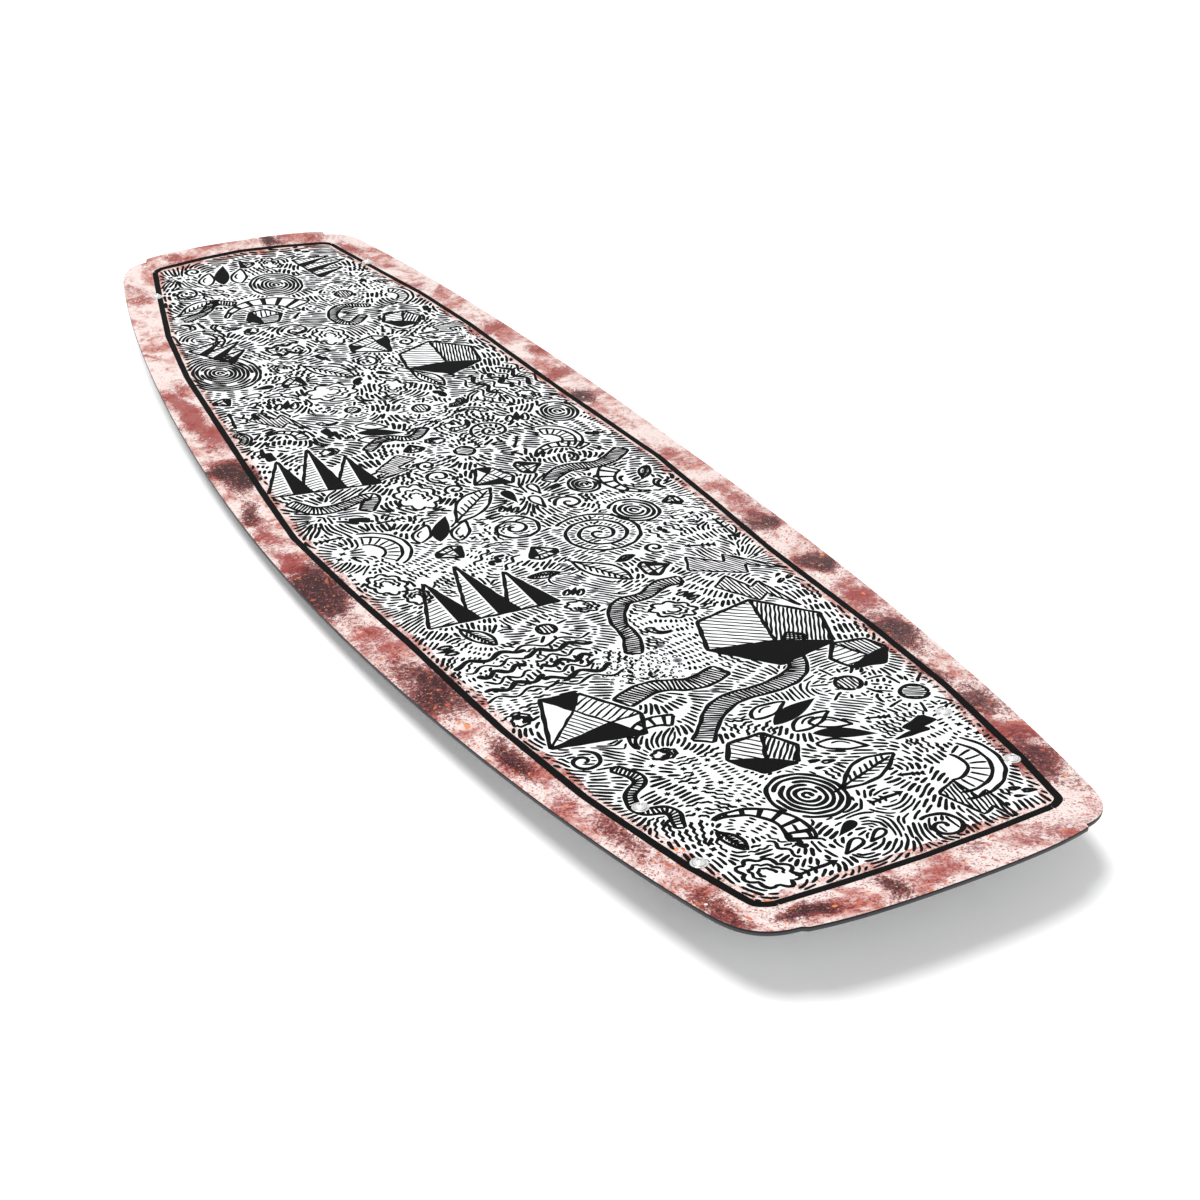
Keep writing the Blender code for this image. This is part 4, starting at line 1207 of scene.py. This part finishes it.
def build_panel(mat, seed, rise=0.00003):
    """The white ground of the drawing, torn-edged and a little short of the band."""
    rng = random.Random(seed)
    across = np.linspace(-1, 1, 91)
    along = np.linspace(0, 1, 421)
    nose = torn(rng, len(across), 0.0045)
    tail = torn(rng, len(across), 0.0045)
    sides = [torn(rng, len(along), 0.0060) for _ in range(2)]
    bm = bmesh.new()
    grid = []
    for i, s in enumerate(along):
        row = []
        for j, v in enumerate(across):
            reach = abs(v)
            nose_x = 0.6040 - 0.0035 * reach - nose[j]
            tail_x = -0.6190 + 0.0085 * reach + tail[j]
            x = tail_x + (nose_x - tail_x) * s
            side = sides[0 if v > 0 else 1][i]
            y = v * (panel_width(x) - 0.0060 - side)
            if abs(x) > 0.6010:
                y = max(-TONGUE_Y + 0.0006, min(TONGUE_Y - 0.0006, y))
            row.append(bm.verts.new((x, y, deck(x, y) + rise)))
        grid.append(row)
    for a, b in zip(grid, grid[1:]):
        for j in range(len(across) - 1):
            bm.faces.new((a[j], b[j], b[j + 1], a[j + 1]))
    clear_holes(bm)
    bmesh.ops.recalc_face_normals(bm, faces=bm.faces[:])
    face_up(bm)
    return add_piece(bm, "panel_ground", mat)


def face_up(bm):
    bm.normal_update()
    for face in bm.faces:
        if face.normal.z < 0:
            face.normal_flip()


def clear_holes(bm):
    """Opens the flat print over each insert, with a clean round edge."""
    for x, y, radius in hole_places():
        place = Vector((x, y, deck(x, y)))
        near = [f for f in bm.faces if (f.calc_center_median() - place).length < 0.009]
        for k in range(12):
            a = math.tau * k / 12
            direction = Vector((math.cos(a), math.sin(a), 0))
            slice_faces(bm, [f for f in near if f.is_valid], place + direction * radius, direction)
            near = [f for f in bm.faces if (f.calc_center_median() - place).length < 0.009]
        gone = [
            f for f in near
            if all((v.co.xy - place.xy).length < radius * 1.06 for v in f.verts)
        ]
        bmesh.ops.delete(bm, geom=gone, context="FACES")


def build_band(mat, seed, width=0.0054, rise=0.00009):
    """The hand-drawn black band round the panel."""
    rng = random.Random(seed)
    path = band_path()
    path = even(np.vstack([path, path[:1]]), 0.0030)
    count = len(path)
    t = np.linspace(0, math.tau, count)
    wander = sum(
        rng.uniform(0.3, 1.0) * np.sin(t * k + rng.uniform(0, 6.3)) / (1 + 0.04 * k)
        for k in (11, 17, 29, 47, 83)
    ) * 0.00016
    swell = 1 + sum(rng.uniform(0.3, 1.0) * np.sin(t * k + rng.uniform(0, 6.3)) for k in (23, 61, 130)) * 0.035
    smooth = path.copy()
    smooth[1:-1] = (path[:-2] + path[1:-1] * 2 + path[2:]) / 4
    step = np.roll(smooth[:-1], -1, 0) - np.roll(smooth[:-1], 1, 0)
    step /= np.hypot(*step.T)[:, None]
    side = np.stack([-step[:, 1], step[:, 0]], 1)
    bm = bmesh.new()
    rings = []
    for i in range(count - 1):
        ring = []
        for k in range(9):
            away = (k / 8 - 0.5) * width * swell[i] + wander[i]
            x, y = smooth[i] + side[i] * away
            ring.append(bm.verts.new((x, y, deck(x, y) + rise)))
        rings.append(ring)
    for a, b in zip(rings, rings[1:] + rings[:1]):
        for k in range(8):
            bm.faces.new((a[k], b[k], b[k + 1], a[k + 1]))
    face_up(bm)
    return add_piece(bm, "panel_band", mat)


def build_ink(page, mat, name, fits, strokes, fills, rise):
    verts, faces = [], []
    for path, widths in strokes:
        if fits(path[0][0]):
            ribbon(*thin_path(path, widths, 2 if len(path) > 12 else 1), verts, faces, rise)
    bm = bmesh.new()
    made = [bm.verts.new(v) for v in verts]
    for quad in faces:
        bm.faces.new([made[i] for i in quad])
    for shape in fills:
        if fits(shape[0][0]) and not any(page.blank[page.cell(x, y)] for x, y in shape):
            bm.faces.new([bm.verts.new((x, y, deck(x, y) + rise)) for x, y in shape])
    face_up(bm)
    return add_piece(bm, name, mat)


def build_fixings(mat, steps):
    """Eight fin screws, each a broad washer under a low domed head with a round socket."""
    made = []
    names = [(x, y) for x, y in screw_places()]
    for x, y in names:
        end = "nose" if x > 0 else "tail"
        side = "left" if y > 0 else "right"
        rank = "outer" if abs(x) > FIN_X else "inner"
        bm = bmesh.new()
        washer = [
            (0.0027, 0.00002), (0.0055, 0.00002), (0.00572, 0.0002), (0.00572, 0.0005),
            (0.0055, 0.0007), (0.0027, 0.0007),
        ]
        head = [
            (0.0, 0.0016), (0.0012, 0.0016), (0.0013, 0.00175), (0.0013, 0.00285), (0.0015, 0.00298),
            (0.0021, 0.00288), (0.0030, 0.0025), (0.0038, 0.0019), (0.0043, 0.0013),
            (0.0044, 0.0009), (0.0042, 0.00072), (0.0, 0.00072),
        ]
        for profile, shut in ((washer, True), (head, False)):
            verts = [bm.verts.new((r, 0, z)) for r, z in profile]
            pairs = list(zip(verts, verts[1:])) + ([(verts[-1], verts[0])] if shut else [])
            edges = [bm.edges.new(pair) for pair in pairs]
            bmesh.ops.spin(
                bm, geom=verts + edges, cent=(0, 0, 0), axis=(0, 0, 1), dvec=(0, 0, 0),
                angle=math.tau, steps=steps, use_merge=True, use_duplicate=False,
            )
        bmesh.ops.remove_doubles(bm, verts=bm.verts[:], dist=1e-6)
        bmesh.ops.transform(bm, matrix=seat(x, y), verts=bm.verts[:])
        bmesh.ops.recalc_face_normals(bm, faces=bm.faces[:])
        words = f"{end}_{side}_{rank}"
        obj = add_piece(
            bm, f"fixing_{words}", mat, [f"fin_screw_{words}", f"fin_washer_{words}"], 30,
        )
        made.append(obj)
    return made


def dress_solids():
    """Finishes for the solids that stay in view or inside."""
    looks = {
        "base_sheet": base_gloss(),
        "top_laminate": inner_material("glass_laminate", "#b9c2ac", "#d3d8c6", 0.35, (900, 900, 60)),
        "core": inner_material("rigid_foam", "#d8c493", "#e6d8b0", 0.8, (700, 700, 700)),
        "stringer": inner_material("sawn_spruce", "#a9783f", "#c99a5c", 0.6, (12, 400, 400)),
        "insert_block": inner_material("beech_plywood", "#b68a58", "#cfa878", 0.6, (30, 30, 900)),
        "insert_strip": insert_steel(),
        "fin_sleeve": inner_material("moulded_acetal", "#b3b3ad", "#c7c7c2", 0.45, (300, 300, 300)),
        "fin_nut": inner_material("turned_brass", "#b98c44", "#cda45a", 0.3, (2000, 2000, 300), 1.0),
        "fin": fin_nylon(),
    }
    looks["base_laminate"] = looks["top_laminate"]
    for name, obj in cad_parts.items():
        for start in sorted(looks, key=len, reverse=True):
            if name.startswith(start):
                for slot in range(len(obj.data.materials)):
                    obj.data.materials[slot] = looks[start]
                break


# ---------------------------------------------------------------- studio


def studio_floor():
    """Seamless matt white sweep: it gives the eye an even pale ground and one soft shadow."""
    mat, shader, where = surface("matt_white_sweep", "#f4f4f4", 0.9)
    tone = noise(mat, where, 0.9, 2.0)
    mat.node_tree.links.new(blend(mat, ramp(mat, tone, 0.3, 0.7), "#f6f6f6", "#f2f2f2"), shader.inputs["Base Color"])
    # Seen directly the sweep reads as white paper, lifted towards the white behind it
    direct = node(mat, "ShaderNodeLightPath").outputs["Is Camera Ray"]
    shader.inputs["Emission Color"].default_value = (1, 1, 1, 1)
    mat.node_tree.links.new(math_node(mat, "MULTIPLY", direct, 0.13), shader.inputs["Emission Strength"])
    return mat


def area_light(name, place, aim, size, power):
    data = bpy.data.lights.new(name, "AREA")
    data.shape = "RECTANGLE"
    data.size, data.size_y = size
    data.energy = power
    obj = bpy.data.objects.new(name, data)
    bpy.context.scene.collection.objects.link(obj)
    obj.location = place
    obj.rotation_euler = (Vector(aim) - Vector(place)).to_track_quat("-Z", "Y").to_euler()
    return obj


def build_stage(props):
    bm = bmesh.new()
    bmesh.ops.create_grid(bm, x_segments=2, y_segments=2, size=12.0)
    mesh = bpy.data.meshes.new("floor")
    bm.to_mesh(mesh)
    bm.free()
    mesh.materials.append(studio_floor())
    floor = bpy.data.objects.new("floor", mesh)
    bpy.context.scene.collection.objects.link(floor)

    world = bpy.data.worlds.new("studio")
    bpy.context.scene.world = world
    world.use_nodes = True
    back = world.node_tree.nodes["Background"]
    back.inputs["Color"].default_value = (1, 1, 1, 1)
    # White where it is looked at or mirrored, dimmer as the light that fills the shadows
    rays = node(world, "ShaderNodeLightPath").outputs
    seen = math_node(world, "MAXIMUM", rays["Is Camera Ray"], rays["Is Glossy Ray"])
    seen = math_node(world, "MAXIMUM", seen, rays["Is Transmission Ray"])
    strength = ramp(world, seen, 0.0, 1.0, props.fill, 1.0, False)
    world.node_tree.links.new(strength, back.inputs["Strength"])

    sun = bpy.data.lights.new("key", "SUN")
    sun.energy = props.key
    sun.angle = math.radians(25)
    key = bpy.data.objects.new("key", sun)
    bpy.context.scene.collection.objects.link(key)
    key.rotation_euler = Vector((0.62, 0.55, -3.0)).to_track_quat("-Z", "Y").to_euler()
    area_light("front_fill", (2.4, -2.2, 2.0), (0.0, 0.0, 0.0), (2.5, 2.5), props.front)

    cam_data = bpy.data.cameras.new("camera")
    cam_data.lens = 56.59
    cam_data.sensor_width = 36.0
    camera = bpy.data.objects.new("camera", cam_data)
    bpy.context.scene.collection.objects.link(camera)
    camera.location = (1.3185, -0.5990, 0.7214)
    aim = Vector((0.2067, 0.0003, 0.0185)) - camera.location
    camera.rotation_euler = (
        aim.to_track_quat("-Z", "Y").to_matrix().to_4x4() @ Matrix.Rotation(math.radians(0.16), 4, "Z")
    ).to_euler()
    bpy.context.scene.camera = camera
    bpy.context.scene.view_settings.view_transform = "Standard"


# ---------------------------------------------------------------- add-on


class DeckProps(bpy.types.PropertyGroup):
    corner_steps: bpy.props.IntProperty(
        name="Corner steps", description="Points along each curve of the tips", default=20, min=6, max=60,
    )
    fixing_steps: bpy.props.IntProperty(
        name="Fixing steps", description="Sides of each turned screw head and washer", default=40, min=12, max=96,
    )


class PrintProps(bpy.types.PropertyGroup):
    seed: bpy.props.IntProperty(name="Seed", description="Seed of the drawn pattern", default=11, min=0)
    band_width: bpy.props.FloatProperty(
        name="Band width", description="Width of the drawn band", default=0.0058, subtype="DISTANCE", unit="LENGTH",
    )


class StageProps(bpy.types.PropertyGroup):
    key: bpy.props.FloatProperty(name="Key", description="Strength of the broad key light", default=2.35)
    front: bpy.props.FloatProperty(name="Front", description="Power of the front fill", default=10.0, unit="POWER")
    fill: bpy.props.FloatProperty(name="Fill", description="Strength of the white surround", default=0.60)


class SCENE_OT_wake_solids(bpy.types.Operator):
    """Finish the solids that stay: base, fins, inserts and inner layers"""
    bl_idname = "scene.wake_solids"
    bl_label = "Finish solids"

    def execute(self, context):
        dress_solids()
        return {"FINISHED"}


class SCENE_OT_wake_deck(bpy.types.Operator):
    """Build the printed top sheet and the moulded rail"""
    bl_idname = "scene.wake_deck"
    bl_label = "Build deck and rail"

    def execute(self, context):
        steps = context.scene.wake_deck.corner_steps
        build_deck(dyed_print(), steps)
        build_rim(rail_urethane(), steps)
        return {"FINISHED"}


class SCENE_OT_wake_fixings(bpy.types.Operator):
    """Build the fin screws and washers"""
    bl_idname = "scene.wake_fixings"
    bl_label = "Build fixings"

    def execute(self, context):
        build_fixings(turned_steel(), context.scene.wake_deck.fixing_steps)
        return {"FINISHED"}


class SCENE_OT_wake_print(bpy.types.Operator):
    """Print the white panel, its band and the drawn pattern"""
    bl_idname = "scene.wake_print"
    bl_label = "Print the drawing"

    def execute(self, context):
        props = context.scene.wake_print
        ink = brush_ink()
        build_panel(panel_white(), props.seed)
        build_band(ink, props.seed + 1, props.band_width)
        page = Page(props.seed + 2)
        draw_page(page)
        ends = (("nose", lambda x: x >= 0.0), ("tail", lambda x: x < 0.0))
        for word, fits in ends:
            build_ink(page, ink, f"ink_{word}", fits, page.strokes, page.fills, 0.00007)
        return {"FINISHED"}


class SCENE_OT_wake_stage(bpy.types.Operator):
    """Set up the floor, lights and camera"""
    bl_idname = "scene.wake_stage"
    bl_label = "Set up the studio"

    def execute(self, context):
        build_stage(context.scene.wake_stage)
        return {"FINISHED"}


class VIEW3D_PT_wake(bpy.types.Panel):
    bl_idname = "VIEW3D_PT_wake"
    bl_label = "Wakeboard"
    bl_space_type = "VIEW_3D"
    bl_region_type = "UI"
    bl_category = "Wakeboard"

    def draw(self, context):
        column = self.layout.column(align=True)
        for group in (context.scene.wake_deck, context.scene.wake_print, context.scene.wake_stage):
            for name in group.bl_rna.properties.keys():
                if name not in ("rna_type", "name"):
                    column.prop(group, name)
        for name in ("wake_solids", "wake_deck", "wake_fixings", "wake_print", "wake_stage"):
            column.operator(f"scene.{name}")


CLASSES = (
    DeckProps, PrintProps, StageProps, SCENE_OT_wake_solids, SCENE_OT_wake_deck, SCENE_OT_wake_fixings,
    SCENE_OT_wake_print, SCENE_OT_wake_stage, VIEW3D_PT_wake,
)


def register():
    for cls in CLASSES:
        bpy.utils.register_class(cls)
    bpy.types.Scene.wake_deck = bpy.props.PointerProperty(type=DeckProps)
    bpy.types.Scene.wake_print = bpy.props.PointerProperty(type=PrintProps)
    bpy.types.Scene.wake_stage = bpy.props.PointerProperty(type=StageProps)


def unregister():
    for name in ("wake_deck", "wake_print", "wake_stage"):
        delattr(bpy.types.Scene, name)
    for cls in reversed(CLASSES):
        bpy.utils.unregister_class(cls)


def main():
    register()
    bpy.ops.scene.wake_solids()
    bpy.ops.scene.wake_deck()
    bpy.ops.scene.wake_fixings()
    bpy.ops.scene.wake_print()
    bpy.ops.scene.wake_stage()


if __name__ == "__main__":
    main()
